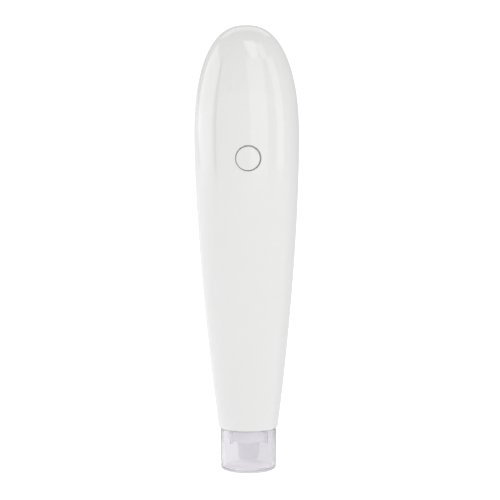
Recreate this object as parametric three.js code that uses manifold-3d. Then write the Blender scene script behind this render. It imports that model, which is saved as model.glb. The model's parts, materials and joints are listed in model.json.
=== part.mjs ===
// Microneedling pen, standing on its clear cap with the tail up. Millimetres, +Z up.
// The origin is the middle of the cap's flat base, and the power button faces -Y.
import * as THREE from 'three';
import { mergeVertices } from 'three/addons/utils/BufferGeometryUtils.js';
import Module from 'manifold-3d';

const wasm = await Module();
wasm.setup();

// Gap between two pieces that touch, and how far a cut runs past what it cuts
const fitGap = 0.3;
const overrun = 2;

// Sides of round pieces: large, middling, small and wire
const fineSides = 28;
const plainSides = 18;
const smallSides = 12;
const wireSides = 6;

// Clear cap
const capBase = 1.5;
const capWall = 1.3;
const capEdgeRound = 1.7;
const capEdgeSteps = 3;
const capRibCount = 4;
const capRibDepth = 0.85;
const capRibThickness = 0.8;
const capRibLength = 4.4;
const capRibDrop = 0.6;

// Needle cartridge: nozzle, collar and barrel
const tipClearance = 2.7;
const nozzleLength = 6.8;
const nozzleTipRadius = 3.7;
const nozzleRootRadius = 4.3;
const nozzleBore = 2.95;
const collarRadius = 8.2;
const collarHeight = 5.1;
const collarFaceRadius = 6.5;
const collarChamfer = 0.9;
const chamberFloor = 1.5;
const chamberRadius = 6.1;
const webRise = 3.6;
const webHeight = 3.5;
const barrelRadius = 7.5;
const barrelWall = 1.2;
const barrelLength = 21.6;
const ringRadius = 0.55;
const ringSides = 6;
const rearRingDepth = 3;
const rearRingFlange = 1;
const rearRingSetback = 0.1;
const sealThickness = 1.5;

// Needles, stem and return spring
const strokeLength = 1.5;
const tipRecess = 1;
const pinProud = 1.4;
const pinRadius = 0.15;
const pinRings = [
  { count: 3, radius: 0.8 },
  { count: 9, radius: 1.9 },
];
const plateThickness = 2;
const plateRadius = 2.6;
const stemHeadHeight = 3.1;
const stemRadius = 1.5;
const stemFlangeRadius = 3.4;
const stemFlangeHeight = 1;
const stemProud = 1.2;
const springWireRadius = 0.25;
const springRadius = 2.5;
const springTurns = 6;
const springStepsPerTurn = 8;
const springWireSides = 5;

// Drive: rod, guide bush, slider and follower ball
const rodRadius = 1.25;
const rodShow = 0.8;
const rodSeatDepth = 2.2;
const bushLedge = 1;
const bushLength = 7.8;
const bushWall = 1.95;
const sliderWidth = 10;
const sliderDepth = 7;
const sliderHeight = 5;
const ballRadius = 1.5;
const ballProud = 1.7;
const ballTrackRadius = 2.6;

// Face cam and its grub screw
const camRadius = 4.4;
const camThickness = 3.6;
const camFloor = 1.3;
const camHubRadius = 3;
const camHubHeight = 2.8;
const grubRadius = 0.7;

// Motor
const motorRadius = 8;
const motorLength = 24.7;
const motorWall = 0.7;
const motorFace = 0.8;
const bossHeight = 1.8;
const bossWall = 0.8;
const bossRunningGap = 0.5;
const shaftRadius = 1;
const bearingWall = 1.3;
const rearBearingLength = 2.2;
const magnetWall = 1.1;
const magnetInset = 1.9;
const magnetTopSpace = 4.8;
const armatureGap = 0.4;
const armatureInset = 1;
const commutatorRadius = 2.6;
const commutatorGap = 0.8;
const commutatorLength = 2.6;
const bellPlug = 1.5;
const bellFlange = 1.8;
const bellSkin = 0.8;
const terminalSpacing = 4;
const terminalWidth = 2;
const terminalThickness = 0.6;
const terminalHeight = 1.2;
const sleeveWall = 1.1;
const sleeveInset = 3;

// Inner frame
const noseRingWall = 1.2;
const noseRingHeight = 9.6;
const noseRingFlange = 0.6;
const noseRingFlangeHeight = 1.5;
const drumWall = 1.8;
const cupWall = 1.3;
const cupOpeningOffset = 1.5;
const deckThickness = 3;
const motorScrewInset = 1.6;
const leadSpace = 2.6;
const floorThickness = 1.2;
const plateWall = 1.2;
const cradleGap = 0.6;
const cradleReach = 6.9;
const roofReach = 12.1;
const leadSlotHalfWidth = 5;
const earHeight = 6;
const earInset = 2.6;
const upperEarDrop = 8.2;
const standoffRadius = 1.8;
const standoffHeight = 1.8;
const boardPostWall = 1.3;
const boardPostDepth = 2.6;
const boardPostHeight = 7.5;

// Screws: the larger ones hold the shells, the smaller ones the motor and the control board
const shellScrewHead = 1.6;
const shellScrewHeadHeight = 1;
const shellScrewRadius = 0.8;
const shellScrewLength = 5.6;
const bossRadius = 2.4;
const motorScrewHead = 1.4;
const motorScrewHeadHeight = 1.2;
const motorScrewRadius = 0.8;
const boardScrewHead = 1.3;
const boardScrewHeadHeight = 0.9;
const boardScrewRadius = 0.7;
const boardScrewLength = 3.2;

// Battery cell and its pads
const cellRadius = 7;
const cellLength = 50;
const cellButtonRadius = 2.7;
const cellButtonHeight = 0.5;
const cellEdge = 0.6;
const padThickness = 0.8;
const padHalfWidth = 4.2;
const rearChannel = 3.65;

// Boards, switch, connectors and USB-C socket
const boardThickness = 1.2;
const controlBoardWidth = 16;
const boardFloorGap = 2;
const boardTopDrop = 16.4;
const boardCorner = 1;
const boardScrewInset = 2.1;
const switchSize = 6.2;
const switchHeight = 3.5;
const switchBoreDepth = 2.2;
const plungerRadius = 1.7;
const plungerProud = 0.6;
const connectorWidth = 6;
const connectorHeight = 3.5;
const connectorDepth = 2.8;
const connectorWall = 0.5;
const leadSpacing = 2.5;
const controllerSize = 4;
const driverSize = 3;
const chipHeight = 0.9;
const chipOffset = 3.6;
const chipRise = 6.6;
const lightWidth = 1.6;
const lightHeight = 0.8;
const lightRise = 5;
const chargeBoardHalfWidth = 7;
const chargeBoardHeight = 10.8;
const tongueHalfWidth = 4.7;
const tongueHeight = 3.5;
const usbOverhang = 2.1;
const usbLength = 7.35;
const usbWidth = 8.94;
const usbHeight = 3.26;
const usbWall = 0.3;
const usbBlockLength = 2;
const usbTongueWidth = 6.6;
const usbTongueThickness = 0.7;
const usbTongueDrop = 0.8;
const leadRadius = 0.5;
const leadStep = 2.2;

// Power button
const buttonRadius = 4.5;
const buttonLineGap = 0.45;
const buttonRecess = 0.1;
const flangeOverlap = 1.5;
const flangeThickness = 0.8;
const flangeSetback = 0.85;
const buttonBelowWidest = 6.6;
const buttonTravel = 0.45;

// Body form: an egg-shaped tail that tapers to a round nose
const shellWall = 2;
const penHalfWidth = 19.9;
const domeLength = 42.4;
const sideDomeLength = 26;
const domeFall = 2.3;
const domeRound = 2.41;
const taperFall = 1.68;
const sectionPower = 2.5;
const noseRoundHeight = 1.4;
const noseRoundDepth = 0.6;
const noseRoundSteps = 3;
const tailCover = 1.8;
const lipWall = 0.8;
const lipHeight = 1.5;
const lipStart = 3;
const outerSides = 40;
const outerTaperSteps = 8;
const outerDomeSteps = 10;
const innerSides = 24;
const innerTaperSteps = 5;
const innerDomeSteps = 7;

// Heights up the axis, each from the piece below it
const tipZ = capBase + tipClearance;
const collarZ = tipZ + nozzleLength;
const capHeight = collarZ + collarHeight;
const noseZ = capHeight + fitGap;
const barrelTopZ = noseZ + barrelLength;
const webZ = noseZ + webRise;
const webTopZ = webZ + webHeight;
const plateZ = tipZ + tipRecess + pinProud;
const stemZ = plateZ + plateThickness + fitGap;
const rearRingZ = barrelTopZ - rearRingDepth;
const rearRingTopZ = barrelTopZ + fitGap + rearRingFlange;
const stemFlangeTopZ = rearRingZ - fitGap;
const stemTopZ = rearRingTopZ + stemProud;
const springZ = webTopZ + fitGap;
const springTopZ = stemFlangeTopZ - stemFlangeHeight - fitGap;
const rodZ = stemTopZ + fitGap;
const bulkheadZ = rodZ + rodShow;
const bushZ = bulkheadZ + bushLedge + fitGap;
const bulkheadTopZ = bushZ + bushLength + fitGap;
const sliderZ = bulkheadTopZ + strokeLength + fitGap;
const sliderTopZ = sliderZ + sliderHeight;
const ballZ = sliderTopZ + ballProud - ballRadius;
const camSlope = strokeLength / 2 / ballTrackRadius;
const camMiddleZ = ballZ + (ballRadius + fitGap) * Math.hypot(1, camSlope) + strokeLength / 2;
const camTopZ = camMiddleZ + camThickness;
const camHubTopZ = camTopZ + camHubHeight;
const shaftZ = camMiddleZ + camFloor + fitGap;
const bossZ = camHubTopZ + bossRunningGap;
const motorZ = bossZ + bossHeight;
const motorTopZ = motorZ + motorLength;
const magnetLength = motorLength - magnetInset - magnetTopSpace;
const deckTopZ = motorZ - fitGap;
const deckZ = deckTopZ - deckThickness;
const bellTopZ = motorTopZ + fitGap + bellFlange;
const terminalZ = bellTopZ + fitGap;
const floorZ = terminalZ + terminalHeight + leadSpace;
const floorTopZ = floorZ + floorThickness;
const lowPadZ = floorTopZ + fitGap;
const cellZ = lowPadZ + padThickness + fitGap;
const cellTopZ = cellZ + cellLength;
const topPadZ = cellTopZ + fitGap;
const roofZ = topPadZ + padThickness + fitGap;
const roofTopZ = roofZ + floorThickness;
const chargeBoardZ = roofTopZ + fitGap;
const chargeBoardTopZ = chargeBoardZ + chargeBoardHeight;
const usbTopZ = chargeBoardTopZ + usbOverhang;
const penHeight = usbTopZ + tailCover;
const widestZ = penHeight - domeLength;
const buttonZ = widestZ - buttonBelowWidest;

// Depths through the pen, from its front face to its back
const frontToCell = shellWall + flangeSetback + flangeThickness + fitGap + plungerProud
  + switchHeight + fitGap + boardThickness + fitGap + standoffHeight + plateWall + fitGap;
const penHalfDepth = (frontToCell + 2 * cellRadius + rearChannel + shellWall) / 2;
const flangeY = shellWall + flangeSetback - penHalfDepth;
const flangeBackY = flangeY + flangeThickness;
const plungerY = flangeBackY + fitGap;
const switchY = plungerY + plungerProud;
const controlBoardY = switchY + switchHeight + fitGap;
const standoffY = controlBoardY + boardThickness + fitGap;
const plateY = standoffY + standoffHeight;
const plateBackY = plateY + plateWall;
const cellY = plateBackY + fitGap + cellRadius;

// Radii that follow from the pieces inside
const capInnerRadius = collarRadius + fitGap + capRibDepth;
const capRadius = capInnerRadius + capWall;
const barrelInnerRadius = barrelRadius - barrelWall;
const barrelBore = barrelRadius + fitGap;
const ringMiddleRadius = barrelBore - ringRadius - fitGap / 2;
const stemBore = stemRadius + fitGap;
const noseRingRadius = barrelBore + noseRingWall;
const noseRadius = noseRingRadius + fitGap + shellWall;
const bushRadius = rodRadius + fitGap + bushWall;
const shaftBore = shaftRadius + fitGap;
const bearingRadius = shaftBore + bearingWall;
const motorBossRadius = bearingRadius + fitGap + bossWall;
const drumRadius = barrelBore + drumWall;
const sleeveBore = motorRadius + fitGap;
const cupBore = sleeveBore + sleeveWall + fitGap;
const cupRadius = cupBore + cupWall;
const motorScrewX = motorRadius - motorScrewInset;
const camChamberRadius = motorScrewX + motorScrewHead + fitGap;
const frameZ = noseZ + noseRingHeight + fitGap;

// Places on the boards and in the tail
const controlBoardLowZ = floorTopZ + boardFloorGap;
const controlBoardTopZ = cellTopZ - boardTopDrop;
const controlBoardHeight = controlBoardTopZ - controlBoardLowZ;
const controlBoardMiddleZ = (controlBoardLowZ + controlBoardTopZ) / 2;
const boardScrewX = controlBoardWidth / 2 - boardScrewInset;
const cradleHalfWidth = cellRadius + cradleGap + plateWall;
const shellScrewX = cradleHalfWidth + fitGap + shellScrewHead;
const chargeBoardY = plateY + cradleReach + cradleGap;
const usbY = chargeBoardY + boardThickness + fitGap + usbHeight / 2;
const leadJointZ = chargeBoardZ + leadSpacing;
const earZs = [floorTopZ + earInset, roofZ - upperEarDrop];

// Solids and meshes
function welded(geometry) {
  const bare = geometry.clone();
  bare.deleteAttribute('normal');
  bare.deleteAttribute('uv');
  const joined = mergeVertices(bare);
  const corners = joined.index.array;
  const kept = [];
  for (let i = 0; i < corners.length; i += 3) {
    const [a, b, c] = corners.slice(i, i + 3);
    if (a !== b && b !== c && c !== a) kept.push(a, b, c);
  }
  joined.setIndex(kept);
  return joined;
}

function signedVolume(geometry) {
  const place = geometry.attributes.position;
  const corners = geometry.index.array;
  const [a, b, c] = [new THREE.Vector3(), new THREE.Vector3(), new THREE.Vector3()];
  let total = 0;
  for (let i = 0; i < corners.length; i += 3) {
    a.fromBufferAttribute(place, corners[i]);
    b.fromBufferAttribute(place, corners[i + 1]);
    c.fromBufferAttribute(place, corners[i + 2]);
    total += a.dot(b.cross(c)) / 6;
  }
  return total;
}

// The same closed surface with its faces pointing out
function facingOut(geometry) {
  const closed = welded(geometry);
  if (signedVolume(closed) < 0) closed.setIndex(Array.from(closed.index.array).reverse());
  return closed;
}

function solidOf(geometry) {
  const closed = facingOut(geometry);
  const mesh = new wasm.Mesh({
    numProp: 3,
    vertProperties: new Float32Array(closed.attributes.position.array),
    triVerts: new Uint32Array(closed.index.array),
  });
  return new wasm.Manifold(mesh);
}

function geometryOf(solid) {
  const mesh = solid.getMesh();
  const geometry = new THREE.BufferGeometry();
  geometry.setAttribute('position', new THREE.Float32BufferAttribute(mesh.vertProperties, 3));
  geometry.setIndex(Array.from(mesh.triVerts));
  return geometry;
}

// A profile of [radius, height] points, turned about Z
function turned(profile, sides) {
  const points = profile.map(([radius, height]) => new THREE.Vector2(radius, height));
  const geometry = new THREE.LatheGeometry(points, sides);
  geometry.rotateX(Math.PI / 2);
  return facingOut(geometry);
}

// A ring's profile, closed on itself
function ringProfile(inner, outer, low, high) {
  return [[inner, low], [outer, low], [outer, high], [inner, high], [inner, low]];
}

// The radius whose flats stand clear of a round piece of the radius given
function clearOf(radius, sides) {
  return radius / Math.cos(Math.PI / sides);
}

function boxOf([x0, x1], [y0, y1], [z0, z1]) {
  const geometry = new THREE.BoxGeometry(x1 - x0, y1 - y0, z1 - z0);
  geometry.translate((x0 + x1) / 2, (y0 + y1) / 2, (z0 + z1) / 2);
  return geometry;
}

function uprightCylinder(radius, low, high, sides) {
  return turned([[0, low], [radius, low], [radius, high], [0, high]], sides);
}

// A cylinder along Y at (x, z)
function levelCylinder(radius, x, z, [y0, y1], sides) {
  const geometry = uprightCylinder(radius, -y1, -y0, sides);
  geometry.rotateX(Math.PI / 2);
  geometry.translate(x, 0, z);
  return geometry;
}

// A wire or other tube along a curve
function tubeAlong(curve, radius, steps, sides) {
  const rim = [];
  for (let i = 0; i < sides; i += 1) {
    const angle = (2 * Math.PI * i) / sides;
    rim.push(new THREE.Vector2(radius * Math.cos(angle), radius * Math.sin(angle)));
  }
  const options = { steps, extrudePath: curve, bevelEnabled: false };
  return facingOut(new THREE.ExtrudeGeometry(new THREE.Shape(rim), options));
}

// A rectangle with rounded corners, or a stadium where the corner is half its height
function roundedOutline(width, height, corner, Kind = THREE.Shape) {
  const [x, y] = [width / 2 - corner, height / 2 - corner];
  const outline = new Kind();
  outline.absarc(x, -y, corner, -Math.PI / 2, 0, false);
  outline.absarc(x, y, corner, 0, Math.PI / 2, false);
  outline.absarc(-x, y, corner, Math.PI / 2, Math.PI, false);
  outline.absarc(-x, -y, corner, Math.PI, Math.PI * 1.5, false);
  outline.closePath();
  return outline;
}

function roundHole(x, y, radius) {
  const hole = new THREE.Path();
  hole.absarc(x, y, radius, 0, Math.PI * 2, true);
  return hole;
}

function extruded(shape, depth, curveSegments) {
  return facingOut(new THREE.ExtrudeGeometry(shape, { depth, bevelEnabled: false, curveSegments }));
}

// Body form: half width and half depth at a height, inset from the outside
function taperShare(z) {
  const below = Math.max(0, (widestZ - z) / (widestZ - noseZ));
  return Math.pow(Math.min(1, below), taperFall);
}

function domeShare(z, inset, length) {
  const down = (penHeight - inset - z) / (length - inset);
  if (down >= 1) return 1;
  if (down <= 0) return 0;
  return Math.pow(1 - Math.pow(1 - down, domeFall), 1 / domeRound);
}

function halfWidthAt(z, inset) {
  const plain = penHalfWidth - (penHalfWidth - noseRadius) * taperShare(z) - inset;
  return plain * domeShare(z, inset, domeLength);
}

function halfDepthAt(z, inset) {
  const plain = penHalfDepth - (penHalfDepth - noseRadius) * taperShare(z) - inset;
  return plain * domeShare(z, inset, sideDomeLength);
}

function squarenessAt(z) {
  return sectionPower - (sectionPower - 2) * taperShare(z);
}

// How far the outside draws in at the rounded edge of the nose
function noseInset(z) {
  const down = 1 - (z - noseZ) / noseRoundHeight;
  if (down <= 0) return 0;
  return noseRoundDepth * (1 - Math.sqrt(Math.max(0, 1 - down * down)));
}

// Heights of the rings of a form, closer together up the dome
function formHeights(low, inset, taperSteps, domeSteps) {
  const heights = [];
  for (let i = 0; i < taperSteps; i += 1) heights.push(low + ((widestZ - low) * i) / taperSteps);
  const rise = domeLength - inset;
  for (let i = 0; i < domeSteps; i += 1) {
    heights.push(widestZ + rise * Math.sin((Math.PI / 2) * (i / domeSteps)));
  }
  return heights;
}

function formOf(inset, heights, sides, edgeInset) {
  const top = penHeight - inset;
  const profile = [[0, heights[0]], ...heights.map((z) => [1, z]), [0, top]];
  const geometry = turned(profile, sides);
  const place = geometry.attributes.position;
  for (let i = 0; i < place.count; i += 1) {
    const z = place.getZ(i);
    const reach = Math.hypot(place.getX(i), place.getY(i));
    const angle = Math.atan2(place.getY(i), place.getX(i));
    const power = 2 / squarenessAt(z);
    const acrossShare = Math.sign(Math.cos(angle)) * Math.pow(Math.abs(Math.cos(angle)), power);
    const depthShare = Math.sign(Math.sin(angle)) * Math.pow(Math.abs(Math.sin(angle)), power);
    const edge = edgeInset(z);
    place.setX(i, reach * (halfWidthAt(z, inset) - edge) * acrossShare);
    place.setY(i, reach * (halfDepthAt(z, inset) - edge) * depthShare);
  }
  return solidOf(geometry);
}

function outerForm() {
  const edge = [];
  for (let i = 0; i < noseRoundSteps; i += 1) {
    edge.push(noseZ + noseRoundHeight * (1 - Math.cos((Math.PI / 2) * (i / noseRoundSteps))));
  }
  const above = formHeights(noseZ + noseRoundHeight, 0, outerTaperSteps, outerDomeSteps);
  return formOf(0, [...edge, ...above], outerSides, noseInset);
}

function insetForm(inset, low) {
  const heights = formHeights(low, inset, innerTaperSteps, innerDomeSteps);
  return formOf(inset, heights, innerSides, () => 0);
}

// Cap and cartridge
function clearCap() {
  const profile = [[0, 0]];
  for (let i = 0; i <= capEdgeSteps; i += 1) {
    const angle = (Math.PI / 2) * (i / capEdgeSteps);
    const radius = capRadius - capEdgeRound * (1 - Math.sin(angle));
    profile.push([radius, capEdgeRound * (1 - Math.cos(angle))]);
  }
  profile.push([capRadius, capHeight], [capInnerRadius, capHeight]);
  profile.push([capInnerRadius, capBase], [0, capBase]);
  let cup = solidOf(turned(profile, fineSides));
  const ribTop = capHeight - capRibDrop;
  for (let i = 0; i < capRibCount; i += 1) {
    const rib = boxOf(
      [capInnerRadius - capRibDepth, capInnerRadius + capWall / 2],
      [-capRibThickness / 2, capRibThickness / 2],
      [ribTop - capRibLength, ribTop],
    );
    rib.rotateZ((2 * Math.PI * (i + 0.5)) / capRibCount);
    cup = cup.add(solidOf(rib));
  }
  return geometryOf(cup);
}

function cartridgeHousing() {
  const barrelZ = collarHeight + nozzleLength;
  const floor = nozzleLength + chamberFloor;
  const web = webZ - tipZ;
  const webTop = webTopZ - tipZ;
  const top = barrelTopZ - tipZ;
  const grooveHeight = 2 * (ringRadius + fitGap);
  const grooveLow = (web + webTop - grooveHeight) / 2;
  const grooveRadius = ringMiddleRadius - ringRadius - fitGap;
  const profile = [
    [nozzleBore, 0],
    [nozzleTipRadius, 0],
    [nozzleRootRadius, nozzleLength],
    [collarFaceRadius, nozzleLength],
    [collarRadius, nozzleLength + collarChamfer],
    [collarRadius, barrelZ],
    [barrelRadius, barrelZ],
    [barrelRadius, grooveLow],
    [grooveRadius, grooveLow],
    [grooveRadius, grooveLow + grooveHeight],
    [barrelRadius, grooveLow + grooveHeight],
    [barrelRadius, top],
    [barrelInnerRadius, top],
    [barrelInnerRadius, webTop],
    [clearOf(stemBore, fineSides), webTop],
    [clearOf(stemBore, fineSides), web],
    [chamberRadius, web],
    [chamberRadius, floor],
    [nozzleBore, floor],
    [nozzleBore, 0],
  ];
  return turned(profile, fineSides);
}

function barrelRing() {
  return welded(new THREE.TorusGeometry(ringMiddleRadius, ringRadius, ringSides, fineSides));
}

function stemSeal() {
  return turned(ringProfile(stemBore, chamberRadius - fitGap, 0, sealThickness), plainSides);
}

function cartridgeRearRing() {
  const plugRadius = barrelInnerRadius - fitGap;
  const flangeLow = barrelTopZ + fitGap - rearRingZ;
  const flangeTop = rearRingTopZ - rearRingZ;
  const flangeRadius = barrelRadius - rearRingSetback;
  const profile = [
    [stemBore, 0],
    [plugRadius, 0],
    [plugRadius, flangeLow],
    [flangeRadius, flangeLow],
    [flangeRadius, flangeTop],
    [stemBore, flangeTop],
    [stemBore, 0],
  ];
  return turned(profile, plainSides);
}

function needlePlate() {
  let plate = solidOf(uprightCylinder(plateRadius, 0, plateThickness, plainSides));
  const length = pinProud + plateThickness / 2;
  for (const { count, radius } of pinRings) {
    for (let i = 0; i < count; i += 1) {
      const angle = (2 * Math.PI * i) / count;
      const pin = new THREE.ConeGeometry(pinRadius, length, wireSides);
      pin.rotateX(-Math.PI / 2);
      pin.translate(radius * Math.cos(angle), radius * Math.sin(angle), length / 2 - pinProud);
      plate = plate.add(solidOf(pin));
    }
  }
  return geometryOf(plate);
}

function needleStem() {
  const flangeTop = stemFlangeTopZ - stemZ;
  const flange = flangeTop - stemFlangeHeight;
  const top = stemTopZ - stemZ;
  const headRadius = plateRadius;
  const profile = [
    [0, 0],
    [headRadius, 0],
    [headRadius, stemHeadHeight],
    [stemRadius, stemHeadHeight],
    [stemRadius, flange],
    [stemFlangeRadius, flange],
    [stemFlangeRadius, flangeTop],
    [stemRadius, flangeTop],
    [stemRadius, top],
    [0, top],
  ];
  return turned(profile, plainSides);
}

// The return spring's wire: one unbroken helix round the stem
class Helix extends THREE.Curve {
  constructor(radius, height, turns) {
    super();
    this.radius = radius;
    this.height = height;
    this.turns = turns;
  }

  getPoint(share, target = new THREE.Vector3()) {
    const angle = 2 * Math.PI * this.turns * share;
    return target.set(this.radius * Math.cos(angle), this.radius * Math.sin(angle), this.height * share);
  }
}

function springHelix() {
  return new Helix(springRadius, springTopZ - springZ - 2 * springWireRadius, springTurns);
}

function returnSpring() {
  const steps = springTurns * springStepsPerTurn;
  const geometry = tubeAlong(springHelix(), springWireRadius, steps, springWireSides);
  geometry.translate(0, 0, springWireRadius);
  return geometry;
}

// Least gap between the spring's own curls, measured between points on the wire's middle
function springSelfGap() {
  const pointsPerTurn = 4 * springStepsPerTurn;
  const points = springHelix().getPoints(springTurns * pointsPerTurn);
  let least = Infinity;
  for (let i = 0; i < points.length; i += 1) {
    for (let j = i + pointsPerTurn / 2; j < points.length; j += 1) {
      least = Math.min(least, points[i].distanceTo(points[j]));
    }
  }
  return least - 2 * springWireRadius;
}

// Shells
function shellScrewPlaces() {
  return earZs.flatMap((z) => [{ x: -shellScrewX, z }, { x: shellScrewX, z }]);
}

function halfShell(side) {
  const reach = penHalfDepth + overrun;
  const width = penHalfWidth + overrun;
  const seam = side * (fitGap / 2);
  const half = boxOf(
    [-width, width],
    side < 0 ? [-reach, seam] : [seam, reach],
    [0, penHeight + overrun],
  );
  const hollow = insetForm(shellWall, noseZ - overrun);
  return outerForm().subtract(hollow).intersect(solidOf(half));
}

// The band of wall where the rear shell's lip laps inside the front shell
function lipBand(insetNear, insetFar, reachY, startZ) {
  const width = penHalfWidth + overrun;
  const band = boxOf([-width, width], reachY, [startZ, penHeight + overrun]);
  const near = insetForm(insetNear, noseZ - overrun);
  const far = insetForm(insetFar, noseZ - overrun);
  return near.subtract(far).intersect(solidOf(band));
}

function frontShell() {
  const lipInset = shellWall - lipWall - fitGap;
  const groove = lipBand(lipInset, shellWall + overrun, [-lipHeight - fitGap, overrun], noseZ + lipStart);
  let shell = halfShell(-1).subtract(groove);
  const bossFrontY = -penHalfDepth - overrun;
  const bossBackY = plateY - fitGap;
  const buried = insetForm(shellWall / 2, noseZ - overrun);
  for (const { x, z } of shellScrewPlaces()) {
    const boss = solidOf(levelCylinder(bossRadius, x, z, [bossFrontY, bossBackY], plainSides));
    shell = shell.add(boss.intersect(buried));
    const holeRadius = shellScrewRadius + fitGap;
    const holeY = [bossBackY - shellScrewLength, bossBackY + overrun];
    shell = shell.subtract(solidOf(levelCylinder(holeRadius, x, z, holeY, smallSides)));
  }
  const openingY = [bossFrontY, flangeY];
  const opening = levelCylinder(buttonRadius + buttonLineGap, 0, buttonZ, openingY, fineSides);
  return geometryOf(shell.subtract(solidOf(opening)));
}

function rearShell() {
  const lip = lipBand(shellWall - lipWall, shellWall, [-lipHeight, lipHeight], noseZ + lipStart + fitGap);
  const [halfX, halfY] = [usbWidth / 2 + fitGap, usbHeight / 2 + fitGap];
  const port = extruded(roundedOutline(2 * halfX, 2 * halfY, halfY - fitGap / 2), usbLength, 3);
  port.translate(0, usbY, usbTopZ - usbLength / 2);
  return geometryOf(halfShell(1).add(lip).subtract(solidOf(port)));
}

function noseRing() {
  const flangeLow = noseRingHeight - noseRingFlangeHeight;
  const flangeRadius = noseRingRadius + noseRingFlange;
  const bore = clearOf(barrelBore, fineSides);
  const profile = [
    [bore, 0],
    [noseRingRadius, 0],
    [noseRingRadius, flangeLow],
    [flangeRadius, flangeLow],
    [flangeRadius, noseRingHeight],
    [bore, noseRingHeight],
    [bore, 0],
  ];
  return turned(profile, fineSides);
}

// Inner frame: drum round the cartridge, cup round the motor and cradle round the cell
function frameDrumAndCup() {
  const camChamberZ = bulkheadTopZ + strokeLength + sliderHeight;
  let body = solidOf(uprightCylinder(drumRadius, frameZ, deckTopZ, fineSides));
  body = body.add(solidOf(uprightCylinder(cupRadius, deckZ - cupWall, floorTopZ, fineSides)));
  const bores = [
    [clearOf(barrelBore, fineSides), frameZ - overrun, bulkheadZ, fineSides],
    [rodRadius + 2 * fitGap, bulkheadZ - overrun, bulkheadTopZ + overrun, smallSides],
    [clearOf(bushRadius + fitGap, plainSides), bulkheadZ + bushLedge, bulkheadTopZ + overrun, plainSides],
    [camChamberRadius, camChamberZ, deckZ, fineSides],
    [clearOf(motorBossRadius + fitGap, plainSides), deckZ - overrun, deckTopZ + overrun, plainSides],
    [clearOf(cupBore, fineSides), deckTopZ, floorZ, fineSides],
  ];
  for (const [radius, low, high, sides] of bores) {
    body = body.subtract(solidOf(uprightCylinder(radius, low, high, sides)));
  }
  const [halfX, halfY] = [sliderWidth / 2 + fitGap, sliderDepth / 2 + fitGap];
  const runway = boxOf([-halfX, halfX], [-halfY, halfY], [bulkheadTopZ, camChamberZ + overrun]);
  return body.subtract(solidOf(runway));
}

// Openings in the frame: the motor goes in from behind, and the leads pass through a slot
function frameOpenings() {
  const reach = cupRadius + overrun;
  const slot = leadSlotHalfWidth;
  return [
    boxOf([-reach, reach], [cupOpeningOffset, reach], [deckTopZ, floorZ]),
    boxOf([-slot, slot], [sliderDepth / 2, reach], [bulkheadTopZ, deckZ]),
    boxOf([-slot, slot], [-reach, plateY - standoffHeight / 2], [floorZ - overrun / 2, floorTopZ + overrun]),
  ];
}

function frameCradle() {
  const half = cradleHalfWidth;
  const inner = half - plateWall;
  const boxes = [
    boxOf([-half, half], [plateY, plateBackY], [floorZ, roofTopZ]),
    boxOf([-half, -inner], [plateY, plateY + cradleReach], [floorZ, roofTopZ]),
    boxOf([inner, half], [plateY, plateY + cradleReach], [floorZ, roofTopZ]),
    boxOf([-half, half], [plateY, plateY + roofReach], [roofZ, roofTopZ]),
  ];
  const postX = chargeBoardHalfWidth + fitGap;
  const postY = chargeBoardY + (boardThickness - boardPostDepth) / 2;
  for (const side of [-1, 1]) {
    const spanX = [side * postX, side * (postX + boardPostWall)].sort((a, b) => a - b);
    boxes.push(boxOf(spanX, [postY, postY + boardPostDepth], [roofZ, roofTopZ + boardPostHeight]));
  }
  for (const { x, z } of shellScrewPlaces()) {
    const end = x + Math.sign(x) * shellScrewHead;
    const spanX = [Math.sign(x) * inner, end].sort((a, b) => a - b);
    boxes.push(boxOf(spanX, [plateY, plateBackY], [z - earHeight / 2, z + earHeight / 2]));
  }
  return boxes;
}

function boardScrewPlaces() {
  return [
    { x: -boardScrewX, z: controlBoardLowZ + boardScrewInset },
    { x: boardScrewX, z: controlBoardTopZ - boardScrewInset },
  ];
}

function innerFrame() {
  let frame = frameDrumAndCup();
  for (const opening of frameOpenings()) frame = frame.subtract(solidOf(opening));
  for (const block of frameCradle()) frame = frame.add(solidOf(block));
  for (const { x, z } of shellScrewPlaces()) {
    const holeY = [plateY - overrun, plateBackY + overrun];
    const hole = levelCylinder(shellScrewRadius + fitGap, x, z, holeY, smallSides);
    frame = frame.subtract(solidOf(hole));
  }
  for (const { x, z } of boardScrewPlaces()) {
    const post = levelCylinder(standoffRadius, x, z, [standoffY, plateY + plateWall / 2], smallSides);
    const holeRadius = boardScrewRadius + fitGap;
    const hole = levelCylinder(holeRadius, x, z, [standoffY - overrun, plateY], smallSides);
    frame = frame.add(solidOf(post)).subtract(solidOf(hole));
  }
  for (const x of [-motorScrewX, motorScrewX]) {
    const hole = uprightCylinder(motorScrewRadius + fitGap, deckZ - overrun, deckTopZ + overrun, smallSides);
    hole.translate(x, 0, 0);
    frame = frame.subtract(solidOf(hole));
  }
  return geometryOf(frame);
}

// A screw with its shank up from Z zero and its head below
function screw(headRadius, headHeight, shankRadius, shankLength) {
  const profile = [
    [0, -headHeight],
    [headRadius, -headHeight],
    [headRadius, 0],
    [shankRadius, 0],
    [shankRadius, shankLength],
    [0, shankLength],
  ];
  return turned(profile, smallSides);
}

// Drive
function slideBush() {
  return turned(ringProfile(clearOf(rodRadius + fitGap, plainSides), bushRadius, 0, bushLength), plainSides);
}

function driveRod() {
  return uprightCylinder(rodRadius, 0, sliderZ + rodSeatDepth - rodZ, smallSides);
}

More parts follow.
